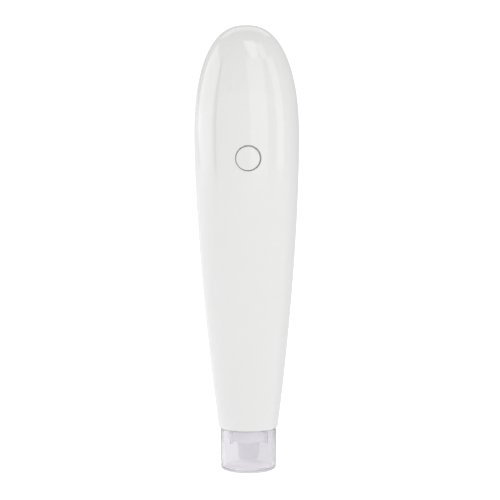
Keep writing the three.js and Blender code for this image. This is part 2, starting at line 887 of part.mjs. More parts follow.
function driveSlider() {
  const [halfX, halfY] = [sliderWidth / 2, sliderDepth / 2];
  const block = solidOf(boxOf([-halfX, halfX], [-halfY, halfY], [0, sliderHeight]));
  const seatRadius = clearOf(rodRadius + fitGap, smallSides);
  const rodSeat = uprightCylinder(seatRadius, -overrun, rodSeatDepth + fitGap, smallSides);
  const cupDepth = 2 * ballRadius - ballProud + fitGap;
  const cupRadius = clearOf(ballRadius + fitGap, smallSides);
  const ballSeat = uprightCylinder(cupRadius, sliderHeight - cupDepth, sliderHeight + overrun, smallSides);
  ballSeat.translate(ballTrackRadius, 0, 0);
  return geometryOf(block.subtract(solidOf(rodSeat)).subtract(solidOf(ballSeat)));
}

// The cam's lower face slopes, so the ball rides down and up once in each turn
function faceCam() {
  const profile = [
    [0, 0],
    [camRadius, 0],
    [camRadius, camThickness],
    [camHubRadius, camThickness],
    [camHubRadius, camThickness + camHubHeight],
    [0, camThickness + camHubHeight],
  ];
  const blank = turned(profile, plainSides);
  const place = blank.attributes.position;
  for (let i = 0; i < place.count; i += 1) {
    if (place.getZ(i) < camThickness / 2) place.setZ(i, camSlope * place.getX(i));
  }
  const boreRadius = clearOf(shaftBore, plainSides);
  const boreTop = camThickness + camHubHeight + overrun;
  const bore = uprightCylinder(boreRadius, camFloor, boreTop, plainSides);
  return geometryOf(solidOf(blank).subtract(solidOf(bore)).subtract(solidOf(grubHole())));
}

function grubHole() {
  const hole = uprightCylinder(grubRadius + fitGap, 0, camHubRadius + overrun, smallSides);
  hole.rotateY(Math.PI / 2);
  hole.translate(0, 0, camThickness + camHubHeight / 2);
  return hole;
}

function grubScrew() {
  return uprightCylinder(grubRadius, 0, camHubRadius - shaftBore - fitGap, smallSides);
}

// Motor
function motorCan() {
  const boss = bearingRadius + fitGap;
  const inner = motorRadius - motorWall;
  const profile = [
    [boss, -bossHeight],
    [motorBossRadius, -bossHeight],
    [motorBossRadius, 0],
    [motorRadius, 0],
    [motorRadius, motorLength],
    [inner, motorLength],
    [inner, motorFace],
    [boss, motorFace],
    [boss, -bossHeight],
  ];
  let can = solidOf(turned(profile, fineSides));
  const holeRadius = motorScrewRadius + fitGap / 2;
  for (const x of [-motorScrewX, motorScrewX]) {
    const hole = uprightCylinder(holeRadius, -overrun / 2, motorFace + overrun, smallSides);
    hole.translate(x, 0, 0);
    can = can.subtract(solidOf(hole));
  }
  return geometryOf(can);
}

function motorMagnet() {
  const outer = motorRadius - motorWall - fitGap;
  return turned(ringProfile(outer - magnetWall, outer, 0, magnetLength), fineSides);
}

function bearing(length) {
  return turned(ringProfile(clearOf(shaftBore, plainSides), bearingRadius, 0, length), plainSides);
}

function motorRotor() {
  const magnetZ = motorZ + magnetInset;
  const armatureRadius = motorRadius - motorWall - fitGap - magnetWall - armatureGap;
  const armature = magnetZ + armatureInset - shaftZ;
  const armatureTop = magnetZ + magnetLength - armatureInset - shaftZ;
  const commutator = armatureTop + commutatorGap;
  const top = bellTopZ - bellSkin - fitGap - shaftZ;
  const profile = [
    [0, 0],
    [shaftRadius, 0],
    [shaftRadius, armature],
    [armatureRadius, armature],
    [armatureRadius, armatureTop],
    [shaftRadius, armatureTop],
    [shaftRadius, commutator],
    [commutatorRadius, commutator],
    [commutatorRadius, commutator + commutatorLength],
    [shaftRadius, commutator + commutatorLength],
    [shaftRadius, top],
    [0, top],
  ];
  return turned(profile, plainSides);
}

function motorEndBell() {
  const bore = bearingRadius + fitGap;
  const plug = motorRadius - motorWall - fitGap;
  const flange = bellPlug + fitGap;
  const top = flange + bellFlange;
  const profile = [
    [0, top - bellSkin],
    [bore, top - bellSkin],
    [bore, 0],
    [plug, 0],
    [plug, flange],
    [motorRadius, flange],
    [motorRadius, top],
    [0, top],
  ];
  return turned(profile, plainSides);
}

function motorSleeve() {
  const length = motorLength - 2 * sleeveInset;
  const bore = clearOf(sleeveBore, fineSides);
  return turned(ringProfile(bore, sleeveBore + sleeveWall, 0, length), fineSides);
}

// Battery
function batteryCell() {
  const profile = [
    [0, 0],
    [cellRadius - cellEdge, 0],
    [cellRadius, cellEdge],
    [cellRadius, cellLength - cellEdge - cellButtonHeight],
    [cellRadius - cellEdge, cellLength - cellButtonHeight],
    [cellButtonRadius, cellLength - cellButtonHeight],
    [cellButtonRadius, cellLength],
    [0, cellLength],
  ];
  return turned(profile, fineSides);
}

function batteryPad() {
  return boxOf([-padHalfWidth, padHalfWidth], [-padHalfWidth, padHalfWidth], [0, padThickness]);
}

// Boards, with the front face towards -Y once they are turned upright
function controlBoard() {
  const outline = roundedOutline(controlBoardWidth, controlBoardHeight, boardCorner);
  for (const { x, z } of boardScrewPlaces()) {
    outline.holes.push(roundHole(x, z - controlBoardMiddleZ, boardScrewRadius + fitGap));
  }
  return extruded(outline, boardThickness, 3);
}

function chargeBoard() {
  const shoulder = chargeBoardHeight - tongueHeight;
  const corners = [
    [-chargeBoardHalfWidth, 0],
    [chargeBoardHalfWidth, 0],
    [chargeBoardHalfWidth, shoulder],
    [tongueHalfWidth, shoulder],
    [tongueHalfWidth, chargeBoardHeight],
    [-tongueHalfWidth, chargeBoardHeight],
    [-tongueHalfWidth, shoulder],
    [-chargeBoardHalfWidth, shoulder],
  ];
  const outline = new THREE.Shape(corners.map(([x, y]) => new THREE.Vector2(x, y)));
  return extruded(outline, boardThickness, 1);
}

// A flat block lying on a board: X across, Y up the board and Z off its face
function blockOn(width, height, thickness) {
  return boxOf([-width / 2, width / 2], [-height / 2, height / 2], [0, thickness]);
}

function tactSwitchBody() {
  const body = solidOf(blockOn(switchSize, switchSize, switchHeight));
  const boreRadius = clearOf(plungerRadius + fitGap, plainSides);
  const boreFloor = switchHeight - switchBoreDepth;
  const bore = uprightCylinder(boreRadius, boreFloor, switchHeight + overrun, plainSides);
  return geometryOf(body.subtract(solidOf(bore)));
}

function tactPlunger() {
  const inside = switchBoreDepth - buttonTravel - fitGap;
  return uprightCylinder(plungerRadius, 0, inside + plungerProud, plainSides);
}

// A wire housing whose two leads enter from the end
function leadConnector() {
  let housing = solidOf(blockOn(connectorWidth, connectorHeight, connectorDepth));
  const half = leadRadius + connectorWall / 2;
  for (const x of [-leadSpacing / 2, leadSpacing / 2]) {
    const socket = boxOf(
      [x - half, x + half],
      [-connectorHeight / 2 - overrun, -connectorHeight / 2 + connectorWall],
      [connectorDepth / 2 - half, connectorDepth / 2 + half],
    );
    housing = housing.subtract(solidOf(socket));
  }
  return geometryOf(housing);
}

function usbShell() {
  const outline = roundedOutline(usbWidth, usbHeight, usbHeight / 2);
  const [width, height] = [usbWidth - 2 * usbWall, usbHeight - 2 * usbWall];
  outline.holes.push(roundedOutline(width, height, height / 2, THREE.Path));
  return extruded(outline, usbLength, 4);
}

function usbInsert() {
  const [width, height] = [usbWidth - 2 * usbWall - 2 * fitGap, usbHeight - 2 * usbWall - 2 * fitGap];
  const block = solidOf(extruded(roundedOutline(width, height, height / 2), usbBlockLength, 4));
  const tongue = boxOf(
    [-usbTongueWidth / 2, usbTongueWidth / 2],
    [-usbTongueThickness / 2, usbTongueThickness / 2],
    [usbBlockLength / 2, usbLength - usbTongueDrop],
  );
  return geometryOf(block.add(solidOf(tongue)));
}

// Leads, each along its real route
function lead(points) {
  const curve = new THREE.CatmullRomCurve3(points.map(([x, y, z]) => new THREE.Vector3(x, y, z)));
  return tubeAlong(curve, leadRadius, Math.ceil(curve.getLength() / leadStep), wireSides);
}

function motorLead(side) {
  const connectorY = controlBoardY - fitGap - connectorDepth / 2;
  const x = (side * leadSpacing) / 2;
  const startZ = terminalZ + terminalHeight + fitGap;
  const bendZ = (startZ + floorZ) / 2;
  return lead([
    [side * terminalSpacing, 0, startZ],
    [side * terminalSpacing, -leadRadius / 2, bendZ - leadRadius],
    [side * terminalSpacing, connectorY / 3, bendZ],
    [side * leadSpacing, (2 * connectorY) / 3, bendZ],
    [x, connectorY, floorTopZ],
    [x, connectorY, controlBoardLowZ - leadRadius],
  ]);
}

function linkLead(side) {
  const connectorY = controlBoardY - fitGap - connectorDepth / 2;
  const x = (side * leadSpacing) / 2;
  const startZ = controlBoardTopZ + leadRadius;
  return lead([
    [x, connectorY, startZ],
    [x, connectorY, startZ + leadSpacing],
    [x, connectorY, cellTopZ - leadSpacing],
    [x, plateY - leadSpacing, roofTopZ],
    [x, plateY + leadSpacing, leadJointZ],
    [x, chargeBoardY - leadSpacing, leadJointZ],
    [x, chargeBoardY - fitGap, leadJointZ],
  ]);
}

function cellTopLead() {
  const x = leadSpacing;
  const y = cellY + padHalfWidth + leadRadius + fitGap;
  const boardBackY = chargeBoardY + boardThickness;
  return lead([
    [x, y, cellTopZ - cellButtonHeight + fitGap],
    [x, y, roofZ],
    [x, y - leadRadius, roofTopZ + leadRadius],
    [x, boardBackY + leadSpacing, leadJointZ],
    [x, boardBackY + fitGap, leadJointZ],
  ]);
}

function cellLowLead() {
  const x = -leadSpacing;
  const behindY = cellY + cellRadius + rearChannel / 2;
  const lowZ = (floorTopZ + cellZ) / 2;
  const boardBackY = chargeBoardY + boardThickness;
  return lead([
    [x, cellY + padHalfWidth + fitGap, lowZ],
    [x, cellY + cellRadius, lowZ],
    [x, behindY, lowZ + leadSpacing],
    [x, behindY, (cellZ + cellTopZ) / 2],
    [x, behindY, roofZ - leadSpacing],
    [x, behindY - leadSpacing, roofTopZ + leadRadius],
    [x, boardBackY + leadSpacing, leadJointZ],
    [x, boardBackY + fitGap, leadJointZ],
  ]);
}

// Power button: its face follows the shell, and its flange sits behind the opening
function powerButton() {
  const faceY = [-penHalfDepth - overrun, flangeY + flangeThickness / 2];
  const face = solidOf(levelCylinder(buttonRadius, 0, buttonZ, faceY, fineSides));
  const flangeRadius = buttonRadius + flangeOverlap;
  const flange = solidOf(levelCylinder(flangeRadius, 0, buttonZ, [flangeY, flangeBackY], fineSides));
  return geometryOf(face.intersect(insetForm(buttonRecess, noseZ)).add(flange));
}

// Materials: colour, roughness and metalness
function finish(color, roughness, metalness = 0) {
  return () => new THREE.MeshStandardMaterial({ color, roughness, metalness });
}

const whiteGloss = finish('#f2f1f3', 0.18);
const clearPlastic = finish('#e6e6ea', 0.08);
const greyPlastic = finish('#a9a9ae', 0.4);
const framePlastic = finish('#d8d9da', 0.55);
const slidePlastic = finish('#f0ead8', 0.45);
const steel = finish('#c3c5c8', 0.28, 1);
const brass = finish('#b08d57', 0.35, 1);
const canSteel = finish('#b9bcc0', 0.35, 1);
const copper = finish('#a8613a', 0.4, 1);
const magnetBlack = finish('#33343a', 0.6);
const rubberBlack = finish('#26262a', 0.8);
const siliconeWhite = finish('#e3e3df', 0.6);
const boardGreen = finish('#1f5a3c', 0.45);
const chipBlack = finish('#1d1d20', 0.5);
const cellWrap = finish('#3a6ea5', 0.4);
const foamGrey = finish('#6c6d70', 0.95);
const connectorWhite = finish('#ece8dd', 0.5);
const lightBlue = finish('#cfe4f2', 0.2);
const leadRed = finish('#b3262b', 0.5);
const leadBlack = finish('#232326', 0.5);

// Assembly
function piece(name, geometry, makeMaterial, position = [0, 0, 0], rotation = [0, 0, 0]) {
  const mesh = new THREE.Mesh(geometry, makeMaterial());
  mesh.name = name;
  mesh.position.set(...position);
  mesh.rotation.set(...rotation);
  return mesh;
}

// Turns that point a piece's +Z to the front or to the back of the pen
const towardsFront = [Math.PI / 2, 0, 0];
const towardsBack = [-Math.PI / 2, 0, 0];

function groupOf(...members) {
  const group = new THREE.Group();
  group.add(...members);
  return group;
}

function capGroup() {
  return groupOf(piece('clear_cap', clearCap(), clearPlastic));
}

function cartridgeGroup() {
  const ringZ = (webZ + webTopZ) / 2;
  return groupOf(
    piece('cartridge_housing', cartridgeHousing(), clearPlastic, [0, 0, tipZ]),
    piece('cartridge_rear_ring', cartridgeRearRing(), greyPlastic, [0, 0, rearRingZ]),
    piece('barrel_o_ring', barrelRing(), rubberBlack, [0, 0, ringZ]),
    piece('stem_seal', stemSeal(), siliconeWhite, [0, 0, webZ - fitGap - sealThickness]),
    piece('return_spring', returnSpring(), steel, [0, 0, springZ]),
  );
}

function needleGroup() {
  return groupOf(
    piece('needle_plate', needlePlate(), steel, [0, 0, plateZ]),
    piece('needle_stem', needleStem(), greyPlastic, [0, 0, stemZ]),
  );
}

function driveGroup() {
  return groupOf(
    piece('drive_rod', driveRod(), steel, [0, 0, rodZ]),
    piece('drive_slider', driveSlider(), slidePlastic, [0, 0, sliderZ]),
    piece('drive_ball', welded(new THREE.SphereGeometry(ballRadius, smallSides, smallSides / 2)), steel,
      [ballTrackRadius, 0, ballZ]),
  );
}

function rotorGroup() {
  const grubX = shaftBore + fitGap;
  const grubZ = camMiddleZ + camThickness + camHubHeight / 2;
  return groupOf(
    piece('motor_rotor', motorRotor(), copper, [0, 0, shaftZ]),
    piece('face_cam', faceCam(), slidePlastic, [0, 0, camMiddleZ]),
    piece('cam_grub_screw', grubScrew(), steel, [grubX, 0, grubZ], [0, Math.PI / 2, 0]),
  );
}

function motorGroup() {
  const bellZ = motorTopZ - bellPlug;
  const screwZ = deckZ - fitGap;
  const screwLength = motorZ + motorFace + fitGap - screwZ;
  const motorScrew = screw(motorScrewHead, motorScrewHeadHeight, motorScrewRadius, screwLength);
  const terminal = boxOf(
    [-terminalWidth / 2, terminalWidth / 2],
    [-terminalThickness / 2, terminalThickness / 2],
    [0, terminalHeight],
  );
  return groupOf(
    piece('motor_can', motorCan(), canSteel, [0, 0, motorZ]),
    piece('motor_magnet', motorMagnet(), magnetBlack, [0, 0, motorZ + magnetInset]),
    piece('motor_front_bush', bearing(bossHeight + motorFace), brass, [0, 0, bossZ]),
    piece('motor_rear_bush', bearing(rearBearingLength), brass, [0, 0, bellZ + fitGap]),
    piece('motor_end_bell', motorEndBell(), chipBlack, [0, 0, bellZ]),
    piece('motor_terminal_left', terminal, brass, [-terminalSpacing, 0, terminalZ]),
    piece('motor_terminal_right', terminal.clone(), brass, [terminalSpacing, 0, terminalZ]),
    piece('motor_sleeve', motorSleeve(), rubberBlack, [0, 0, motorZ + sleeveInset]),
    piece('motor_screw_left', motorScrew, steel, [-motorScrewX, 0, screwZ]),
    piece('motor_screw_right', motorScrew.clone(), steel, [motorScrewX, 0, screwZ]),
    piece('motor_lead_red', motorLead(-1), leadRed),
    piece('motor_lead_black', motorLead(1), leadBlack),
  );
}

function batteryGroup() {
  return groupOf(
    piece('battery_cell', batteryCell(), cellWrap, [0, cellY, cellZ]),
    piece('battery_pad_low', batteryPad(), foamGrey, [0, cellY, lowPadZ]),
    piece('battery_pad_top', batteryPad(), foamGrey, [0, cellY, topPadZ]),
    piece('battery_lead_red', cellTopLead(), leadRed),
    piece('battery_lead_black', cellLowLead(), leadBlack),
  );
}

function controlGroup() {
  const faceY = controlBoardY - fitGap;
  const chipZ = buttonZ + chipRise;
  const lowConnectorZ = controlBoardLowZ + connectorHeight / 2 + fitGap;
  const topConnectorZ = controlBoardTopZ - connectorHeight / 2 - fitGap;
  const upsideDown = [Math.PI / 2, 0, Math.PI];
  const members = [
    piece('control_board', controlBoard(), boardGreen,
      [0, controlBoardY + boardThickness, controlBoardMiddleZ], towardsFront),
    piece('tact_switch_body', tactSwitchBody(), chipBlack, [0, faceY, buttonZ], towardsFront),
    piece('status_light', blockOn(lightWidth, lightHeight, lightHeight), lightBlue,
      [0, faceY, buttonZ + lightRise], towardsFront),
    piece('controller_chip', blockOn(controllerSize, controllerSize, chipHeight), chipBlack,
      [-chipOffset, faceY, chipZ], towardsFront),
    piece('motor_driver_chip', blockOn(driverSize, driverSize, chipHeight), chipBlack,
      [chipOffset, faceY, chipZ], towardsFront),
    piece('motor_connector', leadConnector(), connectorWhite, [0, faceY, lowConnectorZ], towardsFront),
    piece('battery_connector', leadConnector(), connectorWhite, [0, faceY, topConnectorZ], upsideDown),
    piece('link_lead_red', linkLead(-1), leadRed),
    piece('link_lead_black', linkLead(1), leadBlack),
  ];
  const names = ['board_screw_low', 'board_screw_top'];
  boardScrewPlaces().forEach(({ x, z }, i) => {
    const boardScrew = screw(boardScrewHead, boardScrewHeadHeight, boardScrewRadius, boardScrewLength);
    members.push(piece(names[i], boardScrew, steel, [x, faceY, z], towardsBack));
  });
  return groupOf(...members);
}

function chargeGroup() {
  const usbZ = usbTopZ - usbLength;
  const chipZ = chargeBoardZ + driverSize / 2 + leadRadius;
  return groupOf(
    piece('charge_board', chargeBoard(), boardGreen,
      [0, chargeBoardY + boardThickness, chargeBoardZ], towardsFront),
    piece('charge_chip', blockOn(driverSize, driverSize, chipHeight), chipBlack,
      [-chargeBoardHalfWidth / 2, chargeBoardY - fitGap, chipZ], towardsFront),
    piece('usb_c_shell', usbShell(), steel, [0, usbY, usbZ]),
    piece('usb_c_insert', usbInsert(), chipBlack, [0, usbY, usbZ]),
  );
}

function buttonGroup() {
  const plungerBackY = switchY + switchBoreDepth - buttonTravel - fitGap;
  return groupOf(
    piece('power_button', powerButton(), whiteGloss),
    piece('tact_plunger', tactPlunger(), greyPlastic, [0, plungerBackY, buttonZ], towardsFront),
  );
}

function shellGroup() {
  const names = ['low_left', 'low_right', 'top_left', 'top_right'];
  const members = [
    piece('front_shell', frontShell(), whiteGloss),
    piece('rear_shell', rearShell(), whiteGloss),
    piece('nose_ring', noseRing(), whiteGloss, [0, 0, noseZ]),
    piece('inner_frame', innerFrame(), framePlastic),
    piece('slide_bush', slideBush(), brass, [0, 0, bushZ]),
  ];
  shellScrewPlaces().forEach(({ x, z }, i) => {
    const shellScrew = screw(shellScrewHead, shellScrewHeadHeight, shellScrewRadius, shellScrewLength);
    const place = [x, plateBackY + fitGap, z];
    members.push(piece(`shell_screw_${names[i]}`, shellScrew, steel, place, towardsFront));
  });
  return groupOf(...members);
}

console.log(`least gap of the return spring to itself: ${springSelfGap().toFixed(2)} mm`);

const housing = groupOf(
  shellGroup(),
  motorGroup(),
  batteryGroup(),
  controlGroup(),
  chargeGroup(),
  rotorGroup(),
  driveGroup(),
  buttonGroup(),
);
const cartridge = groupOf(cartridgeGroup(), needleGroup(), housing);
const group = groupOf(capGroup(), cartridge);

export default group;
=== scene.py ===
"""Microneedling pen on its clear cap: the looks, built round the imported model, in metres."""

import json
import math
from types import SimpleNamespace

import bmesh
import bpy
from bpy.props import FloatProperty, FloatVectorProperty, PointerProperty
from mathutils import Matrix, Vector


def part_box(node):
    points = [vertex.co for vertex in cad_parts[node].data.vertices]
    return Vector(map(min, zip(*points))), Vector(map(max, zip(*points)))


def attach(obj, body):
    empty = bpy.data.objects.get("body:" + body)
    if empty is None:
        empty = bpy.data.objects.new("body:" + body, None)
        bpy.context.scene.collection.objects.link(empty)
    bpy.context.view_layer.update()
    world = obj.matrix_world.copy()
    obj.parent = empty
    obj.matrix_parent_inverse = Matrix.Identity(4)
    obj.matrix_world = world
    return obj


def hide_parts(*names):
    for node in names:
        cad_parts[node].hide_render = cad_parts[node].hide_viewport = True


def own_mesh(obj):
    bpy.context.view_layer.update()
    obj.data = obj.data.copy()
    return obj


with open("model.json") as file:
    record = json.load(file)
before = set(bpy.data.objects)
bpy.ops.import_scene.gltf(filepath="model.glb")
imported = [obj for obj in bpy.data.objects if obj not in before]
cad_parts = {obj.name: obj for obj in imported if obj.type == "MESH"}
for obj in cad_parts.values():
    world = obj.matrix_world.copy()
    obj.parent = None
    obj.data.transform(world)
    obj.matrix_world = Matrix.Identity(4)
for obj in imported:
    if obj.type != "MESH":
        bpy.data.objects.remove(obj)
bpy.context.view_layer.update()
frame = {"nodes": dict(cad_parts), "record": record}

bl_info = {
    "name": "Microneedling Pen",
    "version": (1, 0, 0),
    "blender": (4, 5, 0),
    "location": "View3D > Sidebar > Pen",
    "description": "Builds a microneedling pen standing on its clear cap",
    "category": "Add Mesh",
}

MM = 0.001
MICRON = 0.000001
MERGE_GAP = 0.02 * MICRON

# Gap between pieces that don't touch
GAP = 0.3 * MM

# Edges that turn by more are shown sharp
SHARP_ANGLE = math.radians(35)

# Height of a solder pad above its board
PAD_RISE = 0.03 * MM

# Slack in comparisons on the plain round form, whose radius is 1
NEAR = 0.00001

# Parts of a full or half turn
TURN_STEPS = 96
SMALL_TURN_STEPS = 48
FEW_TURN_STEPS = 24
COLUMNS = 120
NOSE_ROWS = 5
TAPER_ROWS = 44
PATCH_ROWS = 20
PATCH_COLUMNS = 24
PATCH_CUTS = 6
DOME_ROWS = 36
CROWN_ROW = 24
CROWN_EDGES = 60
CROWN_CUTS = 8

# Halvings that find a height on the dome
HALVINGS = 24

# Colour inputs and result of a Mix node
MIX_A, MIX_B, MIX_RESULT = 6, 7, 2


def linear(code):
    """An sRGB hex colour as linear red, green and blue."""
    shares = [int(code[i : i + 2], 16) / 255 for i in (1, 3, 5)]
    return [s / 12.92 if s <= 0.04045 else ((s + 0.055) / 1.055) ** 2.4 for s in shares]


def low_of(node):
    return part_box(node)[0]


def high_of(node):
    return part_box(node)[1]


def extent(node):
    """A node's low and high corner, its size and its middle."""
    low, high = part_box(node)
    return low, high, high - low, (low + high) / 2


def middle_of(node):
    return extent(node)[3]


def length(name, description, default):
    """A size in metres, for a property group."""
    return FloatProperty(
        name=name,
        description=description,
        default=default,
        min=0.0,
        precision=5,
        unit="LENGTH",
        subtype="DISTANCE",
    )


def colour(name, description, code):
    """A linear colour, for a property group."""
    return FloatVectorProperty(
        name=name,
        description=description,
        default=linear(code),
        size=3,
        min=0.0,
        max=1.0,
        subtype="COLOR",
    )


class PenBody(bpy.types.PropertyGroup):
    """Sizes of the gloss body."""

    half_width: length("Half width", "Half of the widest width", high_of("front_shell").x)
    half_depth: length("Half depth", "Half of the deepest depth", high_of("rear_shell").y)
    top: length("Top", "Height of the tail above the cap's base", high_of("front_shell").z)
    nose: length("Nose", "Height of the nose's edge", low_of("front_shell").z)
    nose_radius: length("Nose radius", "Radius of the round nose", 11.3 * MM)
    dome: length("Dome", "Length of the tail's dome, seen from the front", 42.4 * MM)
    side_dome: length("Side dome", "Length of the tail's dome, seen from the side", 26 * MM)
    wall: length("Wall", "Thickness of the shells", 2 * MM)
    nose_round: length("Nose round", "Height of the round at the nose's edge", 1.4 * MM)
    nose_inset: length("Nose inset", "Depth of the round at the nose's edge", 0.6 * MM)
    seam: length("Seam", "Width of the line between the shells", 0.14 * MM)
    seam_root: length("Seam root", "Width of that line at the inside of the wall", 0.02 * MM)
    seam_round: length("Seam round", "Round on the shells' edges at the seam", 0.12 * MM)
    hole_round: length("Hole round", "Round on the edges of openings", 0.14 * MM)


class PenButton(bpy.types.PropertyGroup):
    """Sizes of the power button."""

    radius: length("Radius", "Radius of the button's face", 4.5 * MM)
    gap: length("Gap", "Width of the ring line round the button", 0.42 * MM)
    sag: length("Sag", "How far the face sits to the lower left in its opening", 0.1 * MM)
    recess: length("Recess", "How far the face sits below the shell", 0.1 * MM)
    edge: length("Edge", "Round on the face's edge", 0.25 * MM)


class PenCap(bpy.types.PropertyGroup):
    """Sizes of the clear cap."""

    radius: length("Radius", "Outer radius", 10.65 * MM)
    height: length("Height", "Height of the cap", high_of("clear_cap").z)
    wall: length("Wall", "Thickness of the wall", 1.3 * MM)
    base: length("Base", "Thickness of the base", 1.5 * MM)
    edge: length("Edge", "Round at the foot of the wall", 1.7 * MM)
    rim: length("Rim", "Round on the rim", 0.15 * MM)
    floor_round: length("Floor round", "Round inside at the base", 0.9 * MM)
    rib_depth: length("Rib depth", "How far a grip rib stands in", 0.85 * MM)
    rib_length: length("Rib length", "Length of a grip rib", 4.4 * MM)
    rib_drop: length("Rib drop", "Distance from the rim to a rib's top", 0.6 * MM)
    rib_round: length("Rib round", "Round on a rib's edges", 0.2 * MM)


class PenCartridge(bpy.types.PropertyGroup):
    """Sizes of the needle cartridge."""

    bore: length("Nozzle bore", "Radius of the opening for the needles", 2.95 * MM)
    tip: length("Nozzle tip", "Outer radius of the nozzle at its tip", 3.7 * MM)
    root: length("Nozzle root", "Outer radius of the nozzle at the collar", 4.3 * MM)
    nozzle: length("Nozzle length", "Length of the nozzle", 6.8 * MM)
    face: length("Collar face", "Radius of the collar's flat face", 6.5 * MM)
    collar: length("Collar radius", "Radius of the collar", 8.2 * MM)
    collar_height: length("Collar height", "Height of the collar", 5.1 * MM)
    chamfer: length("Collar chamfer", "Height of the collar's sloping edge", 0.9 * MM)
    barrel: length("Barrel radius", "Outer radius of the barrel", 7.5 * MM)
    barrel_wall: length("Barrel wall", "Thickness of the barrel's wall", 1.2 * MM)
    chamber: length("Chamber radius", "Radius of the space behind the nozzle", 6.1 * MM)
    chamber_floor: length("Chamber floor", "Thickness of the collar's face", 1.5 * MM)
    stem_bore: length("Stem bore", "Radius of the bore for the stem", 1.82 * MM)
    edge: length("Edge", "Round on the moulded edges", 0.2 * MM)


class PenColours(bpy.types.PropertyGroup):
    """Colours of the pieces."""

    shell: colour("Shell", "Gloss white body", "#ececea")
    clear: colour("Clear", "Clear cap", "#fcfbfd")
    cartridge: colour("Cartridge", "Milky cartridge", "#f6f5f8")
    grey: colour("Grey", "Grey moulded pieces", "#a3a3a8")
    frame: colour("Frame", "Inner frame", "#d6d7d9")
    acetal: colour("Acetal", "Slider and cam", "#efe8d4")
    board: colour("Board", "Circuit boards", "#1f5a3c")
    sleeve: colour("Sleeve", "Sleeve of the battery cell", "#2f66a8")
    floor: colour("Floor", "Studio floor", "#faf9fc")


def sizes(name):
    """The values of one of the scene's property groups."""
    group = getattr(bpy.context.scene, name)
    keys = SIZE_GROUPS[name].__annotations__
    return SimpleNamespace(**{key: getattr(group, key) for key in keys})


# Form of the body


# How fast the grip narrows towards the nose, and the powers of the dome's curve
TAPER_POWER = 1.68
DOME_POWER = 2.3
DOME_ROUND = 2.41


def taper_share(body, z):
    widest = body.top - body.dome
    below = (widest - z) / (widest - body.nose)
    return min(1.0, max(0.0, below)) ** TAPER_POWER


def dome_share(body, z, inset, dome):
    down = (body.top - inset - z) / (dome - inset)
    if down >= 1:
        return 1.0
    return (1 - (1 - max(0.0, down)) ** DOME_POWER) ** (1 / DOME_ROUND)


def half_sizes(body, z, inset):
    """Half width and half depth of the body at a height, inset from the outside."""
    taper = taper_share(body, z)
    width = body.half_width - (body.half_width - body.nose_radius) * taper - inset
    depth = body.half_depth - (body.half_depth - body.nose_radius) * taper - inset
    width *= dome_share(body, z, inset, body.dome)
    depth *= dome_share(body, z, inset, body.side_dome)
    return width, depth


def section_power(body, z):
    """2 is an ellipse, as at the nose, and 2.5 the squarer section of the grip."""
    return 2.5 - 0.5 * taper_share(body, z)


def edge_inset(body, z):
    """How far the outside draws in at the rounded edge of the nose."""
    down = 1 - (z - body.nose) / body.nose_round
    return body.nose_inset * (1 - math.sqrt(1 - down * down)) if down > 0 else 0.0


def side_at(body, x, z, inset):
    """Depth of the body's side at a place seen from the front."""
    width, depth = half_sizes(body, z, inset)
    power = section_power(body, z)
    return depth * (1 - min(1.0, abs(x) / width) ** power) ** (1 / power)


def crown_at(body, x, y, inset):
    """Height of the dome above a place seen from the top."""
    low, high = body.top - body.dome, body.top - inset
    for _ in range(HALVINGS):
        z = (low + high) / 2
        width, depth = half_sizes(body, z, inset)
        power = section_power(body, z)
        across, along = abs(x) / max(width, MERGE_GAP), abs(y) / max(depth, MERGE_GAP)
        reach = across**power + along**power
        low, high = (z, high) if reach < 1 else (low, z)
    return (low + high) / 2


def row_heights(body, inset):
    """Heights of the rings of the body, with even rows across the button's patch."""
    widest = body.top - body.dome
    low = 2 * middle_of("power_button").z - widest
    start = body.nose + body.nose_round
    edge = [1 - math.cos(math.pi / 2 * i / NOSE_ROWS) for i in range(NOSE_ROWS)]
    rows = [body.nose + body.nose_round * share for share in edge]
    rows += [start + (low - start) * i / TAPER_ROWS for i in range(TAPER_ROWS)]
    rows += [low + (widest - low) * i / PATCH_ROWS for i in range(PATCH_ROWS)]
    rise = body.top - inset - widest
    rows += [widest + rise * math.sin(math.pi / 2 * i / DOME_ROWS) for i in range(DOME_ROWS)]
    return rows


# Mesh helpers


def spun(bm, geom, angle, steps, rise=0.0, merge=False):
    """Turns points and edges round Z, and returns them at their last place."""
    made = bmesh.ops.spin(
        bm,
        geom=geom,
        axis=(0, 0, 1),
        cent=(0, 0, 0),
        dvec=(0, 0, rise),
        angle=angle,
        steps=steps,
        use_merge=merge,
    )
    return made["geom_last"]


def tightened(bm):
    """Merges doubled points and turns all faces outwards."""
    bmesh.ops.remove_doubles(bm, verts=bm.verts, dist=MERGE_GAP)
    bmesh.ops.recalc_face_normals(bm, faces=bm.faces)


def turned(bm, profile, steps=TURN_STEPS, closed=False):
    """Spins a profile of (radius, height) points once round Z."""
    points = [bm.verts.new((radius, 0, height)) for radius, height in profile]
    ends = points[1:] + points[:1] if closed else points[1:]
    edges = [bm.edges.new(pair) for pair in zip(points, ends)]
    spun(bm, points + edges, 2 * math.pi, steps, merge=True)
    tightened(bm)


def tube_profile(inner, outer, low, high):
    return [(inner, low), (outer, low), (outer, high), (inner, high)]


def bevelled(bm, edges, width, segments=3):
    bmesh.ops.bevel(
        bm,
        geom=edges,
        offset=width,
        offset_type="OFFSET",
        segments=segments,
        profile=0.5,
        affect="EDGES",
        clamp_overlap=True,
        material=-1,
    )


def soften(bm, width, segments=3, angle=40, where=None):
    """Rounds the edges that turn by more than an angle."""
    sharp = math.radians(angle)
    edges = [e for e in bm.edges if e.is_manifold and e.calc_face_angle() > sharp]
    if where:
        edges = [e for e in edges if where(e)]
    bevelled(bm, edges, width, segments)


def points_of(geom):
    return [g for g in geom if isinstance(g, bmesh.types.BMVert)]


